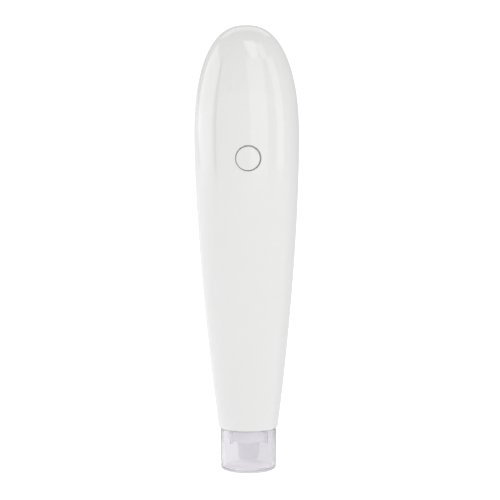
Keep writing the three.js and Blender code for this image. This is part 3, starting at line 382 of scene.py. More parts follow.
def loop(bm, width, depth, corner, centre, steps=SMALL_TURN_STEPS):
    """A level loop with straight sides and round corners, or a circle where it is all corner."""
    half_step = Matrix.Rotation(math.pi / steps, 4, "Z")
    made = bmesh.ops.create_circle(bm, segments=steps, radius=corner, matrix=half_step)["verts"]
    for v in made:
        v.co.x += math.copysign(width / 2 - corner, v.co.x)
        v.co.y += math.copysign(depth / 2 - corner, v.co.y)
        v.co += Vector(centre)
    return made


def circle(bm, radius, centre, steps=SMALL_TURN_STEPS):
    return loop(bm, 2 * radius, 2 * radius, radius, centre, steps)


def stacked(bm, loops):
    """Joins loops one after another into a closed body."""
    before = set(bm.faces)
    rings = [list({e for v in made for e in v.link_edges}) for made in loops]
    # Loops at one height would join twisted, so each is lifted while it is joined
    lift = Vector((0, 0, 50 * MM))
    for near, far, made in zip(rings, rings[1:], loops[1:]):
        bmesh.ops.translate(bm, vec=lift, verts=made)
        bmesh.ops.bridge_loops(bm, edges=near + far)
        bmesh.ops.translate(bm, vec=-lift, verts=made)
    for ring_edges in (rings[0], rings[-1]):
        bmesh.ops.contextual_create(bm, geom=ring_edges)
    faces = [f for f in bm.faces if f not in before]
    bmesh.ops.recalc_face_normals(bm, faces=faces)
    if sum(f.calc_area() * f.normal.dot(f.calc_center_median_weighted()) for f in faces) < 0:
        bmesh.ops.reverse_faces(bm, faces=faces)


def tiers(bm, origin, rows, steps=SMALL_TURN_STEPS):
    """A body of stacked loops over an origin, from rows of width, depth, corner and rise."""
    x, y, z = origin
    stacked(bm, [loop(bm, *sides, (x, y, z + rise), steps) for *sides, rise in rows])


def block(bm, width, depth, low, high, corner, centre=(0, 0), edge=0.0):
    """An upright block with round corners, and its upper edge rounded off."""
    rows = [(width, depth, corner, low)]
    for i in range(4) if edge else (3,):
        turn = math.pi / 6 * i
        inset = edge * (1 - math.cos(turn))
        round_corner = max(corner - inset, 0.02 * MM)
        top = high - edge * (1 - math.sin(turn))
        rows.append((width - 2 * inset, depth - 2 * inset, round_corner, top))
    tiers(bm, (*centre, 0), rows, FEW_TURN_STEPS)


def slab(bm, loops, thickness):
    """A flat plate with the outline of the first loop and the others as holes."""
    edges = list({e for made in loops for v in made for e in v.link_edges})
    filled = bmesh.ops.triangle_fill(bm, use_beauty=True, edges=edges)["geom"]
    faces = [f for f in filled if isinstance(f, bmesh.types.BMFace)]
    raised = bmesh.ops.extrude_face_region(bm, geom=faces)["geom"]
    bmesh.ops.translate(bm, vec=(0, 0, thickness), verts=points_of(raised))
    bmesh.ops.recalc_face_normals(bm, faces=bm.faces)


def moved(bm, matrix):
    bmesh.ops.transform(bm, matrix=matrix, verts=bm.verts)


def towards_front(x, y, z):
    """Turns a piece built upwards to face the pen's front, and puts it at a place."""
    return Matrix.Translation((x, y, z)) @ Matrix.Rotation(math.pi / 2, 4, "X")


def new_object(bm, name):
    """Puts the mesh into the scene."""
    mesh = bpy.data.meshes.new(name)
    bm.to_mesh(mesh)
    bm.free()
    made = bpy.data.objects.new(name, mesh)
    bpy.context.scene.collection.objects.link(made)
    return made


def add_piece(bm, name, body, slot, node, second=None):
    """Makes the mesh an object that replaces a node, rides on a body and takes a slot's finish.

    Faces with material index 1 take the second finish.
    """
    made = new_object(bm, name)
    made.data.shade_smooth()
    made.data.set_sharp_from_angle(angle=SHARP_ANGLE)
    made.data.materials.append(finish(slot))
    if second:
        made.data.materials.append(finish(second))
    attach(made, body)
    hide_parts(node)
    return made


def lathe(name, body, slot, node, profile, edge, steps=SMALL_TURN_STEPS, segments=2, place=None):
    """A turned piece with rounded edges. Its profile is closed, or ends on the axis."""
    bm = bmesh.new()
    turned(bm, profile, steps, closed=profile[0][0] > 0)
    if edge:
        soften(bm, edge, segments)
    if place:
        moved(bm, place)
    add_piece(bm, name, body, slot, node)


# Materials


def add_node(tree, kind, inputs=None, **settings):
    """Adds a node with its settings. A socket given as an input is linked, and a value is set."""
    made = tree.nodes.new(kind)
    for name, value in settings.items():
        setattr(made, name, value)
    for key, value in (inputs or {}).items():
        if isinstance(value, bpy.types.NodeSocket):
            tree.links.new(value, made.inputs[key])
        else:
            made.inputs[key].default_value = value
    return made


def surface(name, tone, rough, grain, relief, drift=0.03, drift_size=9, inputs=None):
    """A finish with a grain of the sizes given along X, Y and Z in mm, which stands up by relief.

    The tone drifts a little over drift_size mm, and the roughness follows the grain.
    """
    material = bpy.data.materials.new(name)
    material.use_nodes = True
    tree = material.node_tree
    shader = tree.nodes["Principled BSDF"]
    place = add_node(tree, "ShaderNodeTexCoord").outputs["Object"]
    scale = [1 / (size * MM) for size in grain]
    along = add_node(tree, "ShaderNodeMapping", {"Vector": place, "Scale": scale})
    fine = add_node(
        tree, "ShaderNodeTexNoise", {"Vector": along.outputs[0], "Scale": 1.0, "Detail": 3.0}
    )
    broad = add_node(
        tree, "ShaderNodeTexNoise", {"Vector": place, "Scale": 1 / (drift_size * MM), "Detail": 2.0}
    )
    darker = [part * (1 - drift) for part in tone]
    mix = add_node(
        tree,
        "ShaderNodeMix",
        {0: broad.outputs[0], MIX_A: (*darker, 1), MIX_B: (*tone, 1)},
        data_type="RGBA",
    )
    spread = add_node(
        tree,
        "ShaderNodeMapRange",
        {0: fine.outputs[0], "To Min": rough * 0.8, "To Max": rough * 1.2},
    )
    bump = add_node(
        tree,
        "ShaderNodeBump",
        {"Height": fine.outputs[0], "Distance": relief, "Strength": 1.0},
    )
    tree.links.new(mix.outputs[MIX_RESULT], shader.inputs["Base Color"])
    tree.links.new(spread.outputs[0], shader.inputs["Roughness"])
    tree.links.new(bump.outputs[0], shader.inputs["Normal"])
    for key, value in (inputs or {}).items():
        shader.inputs[key].default_value = value
    return material


def polished_abs():
    """ABS moulded in a polished tool: deep gloss with a slight orange peel."""
    return surface(
        "polished_abs",
        sizes("pen_colours").shell,
        0.1,
        grain=(5, 5, 7),
        relief=2.2 * MICRON,
        drift=0.015,
        drift_size=30,
        inputs={"IOR": 1.54, "Coat Weight": 1.0, "Coat Roughness": 0.03, "Coat IOR": 1.5},
    )


def clear_acrylic():
    """Acrylic moulded clear: bright edges, faint flow marks up the wall, and a milky haze."""
    return surface(
        "clear_acrylic",
        sizes("pen_colours").clear,
        0.02,
        grain=(1.2, 1.2, 9),
        relief=3 * MICRON,
        drift=0.01,
        inputs={"IOR": 1.43, "Transmission Weight": 0.85},
    )


def cartridge_polycarbonate(name, clarity):
    """Polycarbonate, milky where a frosted tool moulded it and clearer over the needles."""
    return surface(
        name,
        sizes("pen_colours").cartridge,
        0.3 * (1 - clarity),
        grain=(0.9, 0.9, 2.5),
        relief=4 * MICRON,
        drift=0.02,
        inputs={"IOR": 1.58, "Transmission Weight": clarity},
    )


def plain_plastic(name, tone, rough, grain=0.5, relief=6, drift=0.05, **inputs):
    """Moulded plastic with an even spark-eroded grain."""
    return surface(
        name, tone, rough, (grain,) * 3, relief * MICRON, drift, inputs={"IOR": 1.52, **inputs}
    )


def metal(name, code, rough, grain, relief, drift=0.08):
    """Bare metal, with the marks of how it was made along one direction."""
    return surface(
        name, linear(code), rough, grain, relief * MICRON, drift, 4, inputs={"Metallic": 1.0}
    )


FINISHES = {
    "white_gloss": polished_abs,
    "clear_plastic": clear_acrylic,
    # Grey polypropylene, moulded with a soft sheen
    "grey_plastic": lambda: plain_plastic("grey_polypropylene", sizes("pen_colours").grey, 0.38),
    # Glass-filled nylon: short fibres show as a fine streaked grain
    "frame_plastic": lambda: plain_plastic(
        "glass_filled_nylon", sizes("pen_colours").frame, 0.5, 0.35, 14, 0.08
    ),
    # Natural acetal: waxy and slightly see-through
    "slide_plastic": lambda: plain_plastic("natural_acetal", sizes("pen_colours").acetal, 0.32),
    # Black epoxy resin of chips, switch and end bell
    "black_plastic": lambda: plain_plastic("black_epoxy", linear("#1c1c1f"), 0.45, 0.2, 8, 0.2),
    # Ivory nylon of the wire housings
    "connector_plastic": lambda: plain_plastic("ivory_nylon", linear("#ebe6da"), 0.4),
    # Clear resin lens of the light
    "light_lens": lambda: plain_plastic("epoxy_lens", linear("#cfe4f2"), 0.12, 0.6, 1, 0.03),
    # Stainless steel, turned: fine rings round each piece
    "steel": lambda: metal("turned_stainless", "#c6c8ca", 0.24, (1.5, 1.5, 0.09), 1.2),
    # Nickel-plated deep-drawn steel: faint lines up the can
    "can_steel": lambda: metal("drawn_nickel_plate", "#bcbec1", 0.3, (0.3, 0.3, 9), 1.5),
    # Sintered bronze: small dark pores
    "bronze": lambda: metal("sintered_bronze", "#b0894f", 0.42, (0.12, 0.12, 0.12), 8, 0.3),
    # Lacquered copper winding: bands of wire round the armature
    "copper": lambda: metal("wound_copper", "#b06a3e", 0.32, (3, 3, 0.35), 40, 0.25),
    # Coated ferrite: dull and close-grained
    "magnet": lambda: plain_plastic("coated_ferrite", linear("#36373c"), 0.6, 0.25, 12, 0.2),
    # Nitrile rubber
    "rubber": lambda: plain_plastic("nitrile_rubber", linear("#232326"), 0.7, 0.3, 10, 0.2),
    # White silicone, with a soft see-through edge
    "silicone": lambda: plain_plastic("white_silicone", linear("#e4e4df"), 0.5, 0.4, 8),
    # Closed-cell foam: small round cells
    "foam": lambda: plain_plastic("closed_cell_foam", linear("#6c6d70"), 0.9, 0.45, 90, 0.3),
    # Solder mask over glass-epoxy laminate: green, with a slight gloss
    "circuit_board": lambda: plain_plastic(
        "solder_mask", sizes("pen_colours").board, 0.35, 0.5, 12, 0.25
    ),
    # Shrunk sleeve on the cell: glossy film, drawn tight
    "cell_sleeve": lambda: plain_plastic(
        "shrink_sleeve", sizes("pen_colours").sleeve, 0.25, 1.5, 8, 0.06
    ),
    # Extruded insulation of the leads
    "lead_red": lambda: plain_plastic("red_insulation", linear("#b3262b"), 0.35),
    "lead_black": lambda: plain_plastic("black_insulation", linear("#232326"), 0.35),
    # Second finishes: milky where a frosted tool moulded the cartridge, clearer over the needles
    "frosted": lambda: cartridge_polycarbonate("frosted_polycarbonate", 0.0),
    "clear_nozzle": lambda: cartridge_polycarbonate("clear_polycarbonate", 0.2),
    # Reflowed solder over copper: bright and slightly pebbled
    "tinned": lambda: metal("tinned_copper", "#cfcfca", 0.3, (0.4, 0.4, 0.4), 6),
    # Gold flash over nickel: warm and bright
    "gilt": lambda: metal("gilt_contacts", "#d9b25a", 0.22, (0.2, 0.2, 0.6), 0.6),
}


def finish(slot):
    """The material of a slot of the record, or a second finish, made once."""
    made = MADE.get(slot)
    if made is None:
        made = MADE[slot] = FINISHES[slot]()
    return made


MADE = {}


# Body shells


def skin(body, inset, side):
    """Half of the body's form, to the front or the back, with its opening left out."""
    bm = bmesh.new()
    rows = row_heights(body, inset)
    chain = [bm.verts.new((side, 0, z)) for z in rows]
    chain.append(bm.verts.new((0, 0, body.top - inset)))
    edges = [bm.edges.new(pair) for pair in zip(chain, chain[1:])]
    spun(bm, chain + edges, math.pi, COLUMNS)
    bmesh.ops.remove_doubles(bm, verts=bm.verts, dist=MERGE_GAP)
    if side < 0:
        edge_loop = leave_patch(bm, rows)
    else:
        edge_loop = leave_crown(bm, rows)
    for v in bm.verts:
        shape(body, v, inset)
    if side < 0:
        fill_patch(bm, body, inset, edge_loop)
    else:
        fill_crown(bm, body, inset, edge_loop)
    # The gap narrows inwards, so no light comes through the pen
    seam = (body.seam_root if inset else body.seam) / 2
    for v in bm.verts:
        v.co.y = side * seam + v.co.y * (1 - seam / body.half_depth)
    bmesh.ops.recalc_face_normals(bm, faces=bm.faces)
    return bm


def shape(body, v, inset):
    """Moves a point of the plain round form onto the body's section at its height."""
    reach = math.hypot(v.co.x, v.co.y)
    angle = math.atan2(v.co.y, v.co.x)
    across, along = math.cos(angle), math.sin(angle)
    power = 2 / section_power(body, v.co.z)
    width, depth = half_sizes(body, v.co.z, inset)
    edge = 0.0 if inset else edge_inset(body, v.co.z)
    v.co.x = reach * (width - edge) * math.copysign(abs(across) ** power, across)
    v.co.y = reach * (depth - edge) * math.copysign(abs(along) ** power, along)


def leave_patch(bm, rows):
    """Takes out the faces round the button and returns the edges of the gap."""
    low = rows[NOSE_ROWS + TAPER_ROWS]
    high = rows[NOSE_ROWS + TAPER_ROWS + PATCH_ROWS]
    turn = math.pi / COLUMNS * (PATCH_COLUMNS / 2)

    def inside(place):
        within = abs(math.atan2(place.x, -place.y)) < turn + NEAR
        return within and low - NEAR < place.z < high + NEAR

    faces = [f for f in bm.faces if inside(f.calc_center_median())]
    bmesh.ops.delete(bm, geom=faces, context="FACES")
    return [e for e in bm.edges if e.is_boundary and all(inside(v.co) for v in e.verts)]


def fill_patch(bm, body, inset, edge_loop):
    """Closes the gap up to the button's round opening."""
    button = sizes("pen_button")
    upright = towards_front(0, 0, middle_of("power_button").z)
    steps, radius = len(edge_loop), button.radius + button.gap
    ring = bmesh.ops.create_circle(bm, segments=steps, radius=radius, matrix=upright)["verts"]
    for v in ring:
        v.co.y = -side_at(body, v.co.x, v.co.z, inset)
    for v in fill_between(bm, edge_loop, ring, PATCH_CUTS):
        v.co.y = -side_at(body, v.co.x, v.co.z, inset)


def fill_between(bm, edge_loop, ring, cuts):
    """Bridges a gap's edge and a ring, and returns the points of the rows put in between."""
    inner = set(ring)
    ring_edges = [e for e in bm.edges if e.verts[0] in inner and e.verts[1] in inner]
    bmesh.ops.bridge_loops(bm, edges=edge_loop + ring_edges)
    spokes = [e for e in bm.edges if (e.verts[0] in inner) != (e.verts[1] in inner)]
    made = bmesh.ops.subdivide_edges(bm, edges=spokes, cuts=cuts, use_grid_fill=True)
    return points_of(made["geom_inner"])


def leave_crown(bm, rows):
    """Takes the crown off the dome. Returns the edge that is left, with a line along the seam."""
    crown = rows[NOSE_ROWS + TAPER_ROWS + PATCH_ROWS + CROWN_ROW]
    above = [v for v in bm.verts if v.co.z > crown + NEAR]
    bmesh.ops.delete(bm, geom=above, context="VERTS")
    edges = [e for e in bm.edges if all(abs(v.co.z - crown) < NEAR for v in e.verts)]
    ends = sorted({v for e in edges for v in e.verts}, key=lambda v: v.co.x)
    start, stop = ends[0], ends[-1]
    share = [2 * i / CROWN_EDGES - 1 for i in range(1, CROWN_EDGES)]
    line = [start, *(bm.verts.new((s, 0, crown)) for s in share), stop]
    return edges + [bm.edges.new(pair) for pair in zip(line, line[1:])]


def fill_crown(bm, body, inset, edge_loop):
    """Closes the crown up to the opening of the charging port."""
    for e in edge_loop:
        for v in e.verts:
            if abs(v.co.y) < MERGE_GAP:
                v.co.z = crown_at(body, v.co.x, 0, inset)
    ring = bmesh.ops.create_circle(bm, segments=len(edge_loop), radius=1.0)["verts"]
    centre = middle_of("usb_c_shell")
    for v in ring:
        x, y = port_outline(math.atan2(v.co.y, v.co.x))
        v.co = (x, centre.y + y, crown_at(body, x, centre.y + y, inset))
    for v in fill_between(bm, edge_loop, ring, CROWN_CUTS):
        v.co.z = crown_at(body, v.co.x, v.co.y, inset)


def port_outline(angle):
    """A place on the outline of the charging port, which has straight sides and round ends."""
    low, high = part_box("usb_c_shell")
    radius = (high.y - low.y) / 2 + GAP
    straight = (high.x - low.x) / 2 + GAP - radius
    quarter = math.pi / 2 * radius
    reach = (angle / (2 * math.pi)) % 1 * (4 * straight + 4 * quarter)
    steps = [quarter, 2 * straight, 2 * quarter, 2 * straight, quarter]
    for i, step in enumerate(steps):
        if reach <= step or i == len(steps) - 1:
            break
        reach -= step
    turn = reach / radius
    if i == 0:
        return straight + radius * math.cos(turn), radius * math.sin(turn)
    if i == 1:
        return straight - reach, radius
    if i == 2:
        return -straight - radius * math.sin(turn), radius * math.cos(turn)
    if i == 3:
        return reach - straight, -radius
    return straight + radius * math.sin(turn), -radius * math.cos(turn)


def shell(body, side):
    """Outer and inner skin of one half, joined round their edges into a wall."""
    bm = skin(body, 0.0, side)
    outer = {e for e in bm.edges if e.is_boundary}
    inner = skin(body, body.wall, side)
    mesh = bpy.data.meshes.new("inner_skin")
    inner.to_mesh(mesh)
    inner.free()
    bm.from_mesh(mesh)
    bpy.data.meshes.remove(mesh)
    edges = {e for e in bm.edges if e.is_boundary}
    low, high = opening_box(side)
    openings = {e for e in edges if all(between(low, v.co, high) for v in e.verts)}
    rims = edges - openings
    bmesh.ops.bridge_loops(bm, edges=list(openings))
    bmesh.ops.bridge_loops(bm, edges=list(rims))
    bmesh.ops.recalc_face_normals(bm, faces=bm.faces)
    lips = [e for e in outer if e in openings]
    lines = [e for e in outer if e in rims and all(abs(v.co.y) < body.seam for v in e.verts)]
    bevelled(bm, lines, body.seam_round)
    bevelled(bm, lips, body.hole_round)
    return bm


def opening_box(side):
    """Corners of a box round the button's opening or the charging port."""
    low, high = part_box("power_button" if side < 0 else "usb_c_shell")
    room = Vector((MM, 1.5 * MM, MM * 4))
    return low - room, high + room


def between(low, place, high):
    return all(a < b < c for a, b, c in zip(low, place, high))


class PEN_OT_shells(bpy.types.Operator):
    """Front and rear shell, with the button's opening and the charging port"""

    bl_idname = "pen.shells"
    bl_label = "Shells"

    def execute(self, context):
        body = sizes("pen_body")
        add_piece(shell(body, -1), "shell_front", "housing", "white_gloss", "front_shell")
        add_piece(shell(body, 1), "shell_rear", "housing", "white_gloss", "rear_shell")
        return {"FINISHED"}


class PEN_OT_nose_ring(bpy.types.Operator):
    """Ring inside the nose, which the cartridge slides into"""

    bl_idname = "pen.nose_ring"
    bl_label = "Nose ring"

    def execute(self, context):
        low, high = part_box("nose_ring")
        bore, outer, flange, edge = 7.85 * MM, 9 * MM, high.x, 0.25 * MM
        step = high.z - 1.5 * MM
        profile = [(bore, low.z), (outer, low.z), (outer, step), (flange, step)]
        profile += [(flange, high.z), (bore, high.z)]
        lathe("nose_collar", "housing", "white_gloss", "nose_ring", profile, edge, TURN_STEPS, 3)
        return {"FINISHED"}


class PEN_OT_power_button(bpy.types.Operator):
    """Power button, whose face follows the shell"""

    bl_idname = "pen.power_button"
    bl_label = "Power button"

    def execute(self, context):
        button, body = sizes("pen_button"), sizes("pen_body")
        _, high, size, centre = extent("power_button")
        back, rise, flange, flange_rise = high.y, size.y, size.x / 2, 0.8 * MM
        rings = 10
        profile = [(button.radius * i / rings, rise) for i in range(rings + 1)]
        profile += [(button.radius, flange_rise), (flange, flange_rise), (flange, 0), (0, 0)]
        bm = bmesh.new()
        turned(bm, profile)
        above = [v for v in bm.verts if v.co.z > flange_rise - MERGE_GAP]
        face = [v for v in above if v.co.z > rise - MERGE_GAP]
        neck = [v for v in above if v.co.xy.length < flange - MM]
        bmesh.ops.translate(bm, vec=(-button.sag, -button.sag, 0), verts=neck)
        moved(bm, towards_front(0, back, centre.z))
        for v in face:
            v.co.y = button.recess - side_at(body, v.co.x, v.co.z, 0.0)
        soften(bm, button.edge, where=lambda e: all(v.co.y < back - 1.5 * MM for v in e.verts))
        add_piece(bm, "button_cap", "button", "white_gloss", "power_button")
        return {"FINISHED"}


# Cap and cartridge


class PEN_OT_clear_cap(bpy.types.Operator):
    """Clear cup that the pen stands on, with grip ribs inside"""

    bl_idname = "pen.clear_cap"
    bl_label = "Clear cap"

    def execute(self, context):
        cap = sizes("pen_cap")
        inner = cap.radius - cap.wall
        rib_top = cap.height - cap.rib_drop
        rib_low = rib_top - cap.rib_length
        profile = [(0, 0), (cap.radius, 0), (cap.radius, cap.height), (inner, cap.height)]
        profile += [(inner, rib_top), (inner, rib_low), (inner, cap.base), (0, cap.base)]
        steps, ribs, rib_faces = 144, 4, 2
        bm = bmesh.new()
        turned(bm, profile, steps)
        pitch = 2 * math.pi / ribs
        for i in range(ribs):
            faces = [
                f
                for f in bm.faces
                if rib_low < f.calc_center_median().z < rib_top
                and f.calc_center_median().xy.length < inner + cap.wall / 2
                and turn_between(f, pitch * (i + 0.5)) < math.pi / steps * rib_faces
            ]
            raised = bmesh.ops.extrude_face_region(bm, geom=faces)["geom"]
            for v in points_of(raised):
                v.co.xy *= (inner - cap.rib_depth) / inner
        foot = cap.radius - MERGE_GAP
        rounds = (
            (cap.edge, 8, lambda v: v.co.z < MERGE_GAP and v.co.xy.length > foot),
            (cap.floor_round, 5, lambda v: abs(v.co.z - cap.base) < MERGE_GAP),
            (cap.rim, 3, lambda v: v.co.z > cap.height - MERGE_GAP),
        )
        for width, segments, chosen in rounds:
            soften(bm, width, segments, where=lambda e: all(chosen(v) for v in e.verts))
        soften(bm, cap.rib_round, 2, where=lambda e: e.verts[0].co.z > rib_low - MM)
        add_piece(bm, "protective_cap", "cap", "clear_plastic", "clear_cap")
        return {"FINISHED"}


def turn_between(face, angle):
    """Turn about Z from a face to an angle."""
    place = face.calc_center_median()
    turn = (math.atan2(place.y, place.x) - angle) % (2 * math.pi)
    return min(turn, 2 * math.pi - turn)


class PEN_OT_cartridge(bpy.types.Operator):
    """Clear housing of the needle cartridge: nozzle, collar and barrel"""

    bl_idname = "pen.cartridge"
    bl_label = "Cartridge housing"

    def execute(self, context):
        part = sizes("pen_cartridge")
        low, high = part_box("cartridge_housing")
        ring_low, ring_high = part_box("barrel_o_ring")
        collar = low.z + part.nozzle
        shoulder = collar + part.collar_height
        cord, proud = 0.55 * MM, 0.15 * MM
        groove_low, groove_high = ring_low.z - GAP, ring_high.z + GAP
        groove = part.barrel + proud - 2 * cord - GAP
        web_low = high_of("stem_seal").z + GAP
        web_high = low_of("return_spring").z - GAP
        inner = part.barrel - part.barrel_wall
        profile = [
            (part.bore, low.z),
            (part.tip, low.z),
            (part.root, collar),
            (part.face, collar),
            (part.collar, collar + part.chamfer),
            (part.collar, shoulder),
            (part.barrel, shoulder),
            (part.barrel, groove_low),
            (groove, groove_low),
            (groove, groove_high),
            (part.barrel, groove_high),
            (part.barrel, high.z),
            (inner, high.z),
            (inner, web_high),
            (part.stem_bore, web_high),
            (part.stem_bore, web_low),
            (part.chamber, web_low),
            (part.chamber, collar + part.chamber_floor),
            (part.bore, collar + part.chamber_floor),
        ]
        bm = bmesh.new()
        turned(bm, profile, closed=True)
        soften(bm, part.edge, angle=25)
        for f in bm.faces:
            f.material_index = 1 if f.calc_center_median().z < collar - MERGE_GAP else 0
        slot, node, second = "clear_plastic", "cartridge_housing", "clear_nozzle"
        made = add_piece(bm, "cartridge_body", "cartridge", slot, node, second)
        made.data.materials[0] = finish("frosted")
        return {"FINISHED"}


class PEN_OT_cartridge_fittings(bpy.types.Operator):
    """Rear ring, seals and return spring of the cartridge"""

    bl_idname = "pen.cartridge_fittings"
    bl_label = "Cartridge fittings"

    def execute(self, context):
        part = sizes("pen_cartridge")
        node = "cartridge_rear_ring"
        low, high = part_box(node)
        bore, plug, step = 1.8 * MM, part.barrel - part.barrel_wall - GAP, high.z - MM
        profile = [(bore, low.z), (plug, low.z), (plug, step), (high.x, step)]
        profile += [(high.x, high.z), (bore, high.z)]
        slot, edge = "grey_plastic", 0.15 * MM
        lathe("cartridge_back_ring", "cartridge", slot, node, profile, edge, TURN_STEPS)

        low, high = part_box("stem_seal")
        profile, edge = tube_profile(bore, high.x, low.z, high.z), 0.3 * MM
        lathe("stem_wiper", "cartridge", "silicone", "stem_seal", profile, edge, TURN_STEPS, 3)

        low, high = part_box("barrel_o_ring")
        cord = (high.z - low.z) / 2
        bm = bmesh.new()
        section = wire_end(bm, high.x - cord, (low.z + high.z) / 2, cord, 16)
        spun(bm, section, 2 * math.pi, TURN_STEPS, merge=True)
        tightened(bm)
        add_piece(bm, "barrel_ring", "cartridge", "rubber", "barrel_o_ring")
        return_spring()
        return {"FINISHED"}


def wire_end(bm, radius, height, wire, segments, capped=False):
    """The round section of a wire that runs round Z, as points and edges."""
    upright = towards_front(radius, 0, height)
    bmesh.ops.create_circle(bm, cap_ends=capped, segments=segments, radius=wire, matrix=upright)
    return bm.verts[:] + bm.edges[:]


def return_spring():
    """Steel wire wound in one helix, at the length of the imported spring, with a mesh of its own.
    """
    low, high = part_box("return_spring")
    wire, radius, turns, turn_steps = 0.25 * MM, 2.5 * MM, 6, 36
    steps = turn_steps * turns
    bottom, top = low.z + wire, high.z - wire
    bm = bmesh.new()
    section = wire_end(bm, radius, bottom, wire, 10, capped=True)
    last = spun(bm, section, 2 * math.pi * turns, steps, (top - bottom) / steps)
    bmesh.ops.contextual_create(bm, geom=[g for g in last if isinstance(g, bmesh.types.BMEdge)])
    bmesh.ops.recalc_face_normals(bm, faces=bm.faces)
    made = add_piece(bm, "coil_spring", "cartridge", "steel", "return_spring")
    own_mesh(made)


class PEN_OT_needles(bpy.types.Operator):
    """Needle plate with its pins, and the stem that drives it"""

    bl_idname = "pen.needles"
    bl_label = "Needles"

    def execute(self, context):
        low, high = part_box("needle_plate")
        proud, pin = 1.4 * MM, 0.15 * MM
        bm = bmesh.new()
        turned(bm, [(0, low.z + proud), (high.x, low.z + proud), (high.x, high.z), (0, high.z)])
        soften(bm, 0.2 * MM)
        for count, radius in ((3, 0.8 * MM), (9, 1.9 * MM)):
            for i in range(count):
                angle = 2 * math.pi * i / count
                place = (radius * math.cos(angle), radius * math.sin(angle), low.z + proud / 2)
                bmesh.ops.create_cone(
                    bm,
                    cap_ends=True,
                    segments=12,
                    radius1=pin * 0.12,
                    radius2=pin,
                    depth=proud + 0.1 * MM,
                    matrix=Matrix.Translation(place),
                )
        add_piece(bm, "needle_head", "needles", "steel", "needle_plate")

        low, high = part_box("needle_stem")
        head, stem, flange, edge = 2.6 * MM, 1.5 * MM, high.x, 0.2 * MM
        head_high, flange_low, flange_high = (low.z + rise * MM for rise in (3.1, 24.8, 25.8))
        profile = [(0, low.z), (head, low.z), (head, head_high), (stem, head_high)]
        profile += [(stem, flange_low), (flange, flange_low), (flange, flange_high)]
        profile += [(stem, flange_high), (stem, high.z), (0, high.z)]
        lathe("needle_shank", "needles", "grey_plastic", "needle_stem", profile, edge, segments=3)
        return {"FINISHED"}


# Charging socket and drive


class PEN_OT_charging_socket(bpy.types.Operator):
    """Charging socket in the tail: drawn shell and its tongue"""

    bl_idname = "pen.charging_socket"
    bl_label = "Charging socket"

    def execute(self, context):
        low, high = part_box("usb_c_shell")
        wall = 0.3 * MM
        bm = bmesh.new()
        outline(bm, low, high)
        raised = bmesh.ops.extrude_edge_only(bm, edges=bm.edges[:])["geom"]
        for v in points_of(raised):
            v.co.z = high.z
        bmesh.ops.recalc_face_normals(bm, faces=bm.faces)
        bmesh.ops.solidify(bm, geom=bm.faces[:], thickness=wall)
        bmesh.ops.recalc_face_normals(bm, faces=bm.faces)
        add_piece(bm, "usb_socket", "housing", "steel", "usb_c_shell")

        low, _, size, middle = extent("usb_c_insert")
        foot = (middle.x, middle.y, low.z)
        bm = bmesh.new()
        tiers(bm, foot, [(size.x, size.y, size.y / 2, rise) for rise in (0, 2 * MM)])
        width, thickness, taper = 6.6 * MM, 0.7 * MM, 0.12 * MM
        tip = ((0, 1.9 * MM), (0, size.z - 0.3 * MM), (taper, size.z))
        rows = [(width - 2 * a, thickness - 2 * a, 0.2 * MM, rise) for a, rise in tip]
        tiers(bm, foot, rows)
        before = set(bm.faces)
        strip = [(0.3 * MM, 0.06 * MM, 0.02 * MM, rise) for rise in (2.2 * MM, 5.9 * MM)]
        contacts = 8
        for i in range(contacts):
            x = middle.x + (i - (contacts - 1) / 2) * 0.6 * MM
            for side in (-1, 1):
                tiers(bm, (x, middle.y + side * (thickness / 2), low.z), strip, 8)
        second_finish(bm, before)
        add_piece(bm, "usb_tongue", "housing", "black_plastic", "usb_c_insert", "gilt")
        return {"FINISHED"}


def outline(bm, low, high):
    """A flat outline with straight sides and round ends, at the lower corner's height."""
    radius = (high.y - low.y) / 2
    straight = (high.x - low.x) / 2 - radius
    centre = (low + high) / 2
    made = bmesh.ops.create_circle(bm, segments=SMALL_TURN_STEPS, radius=radius)["verts"]
    for v in made:
        v.co.x += math.copysign(straight, v.co.x)
        v.co += Vector((centre.x, centre.y, low.z))


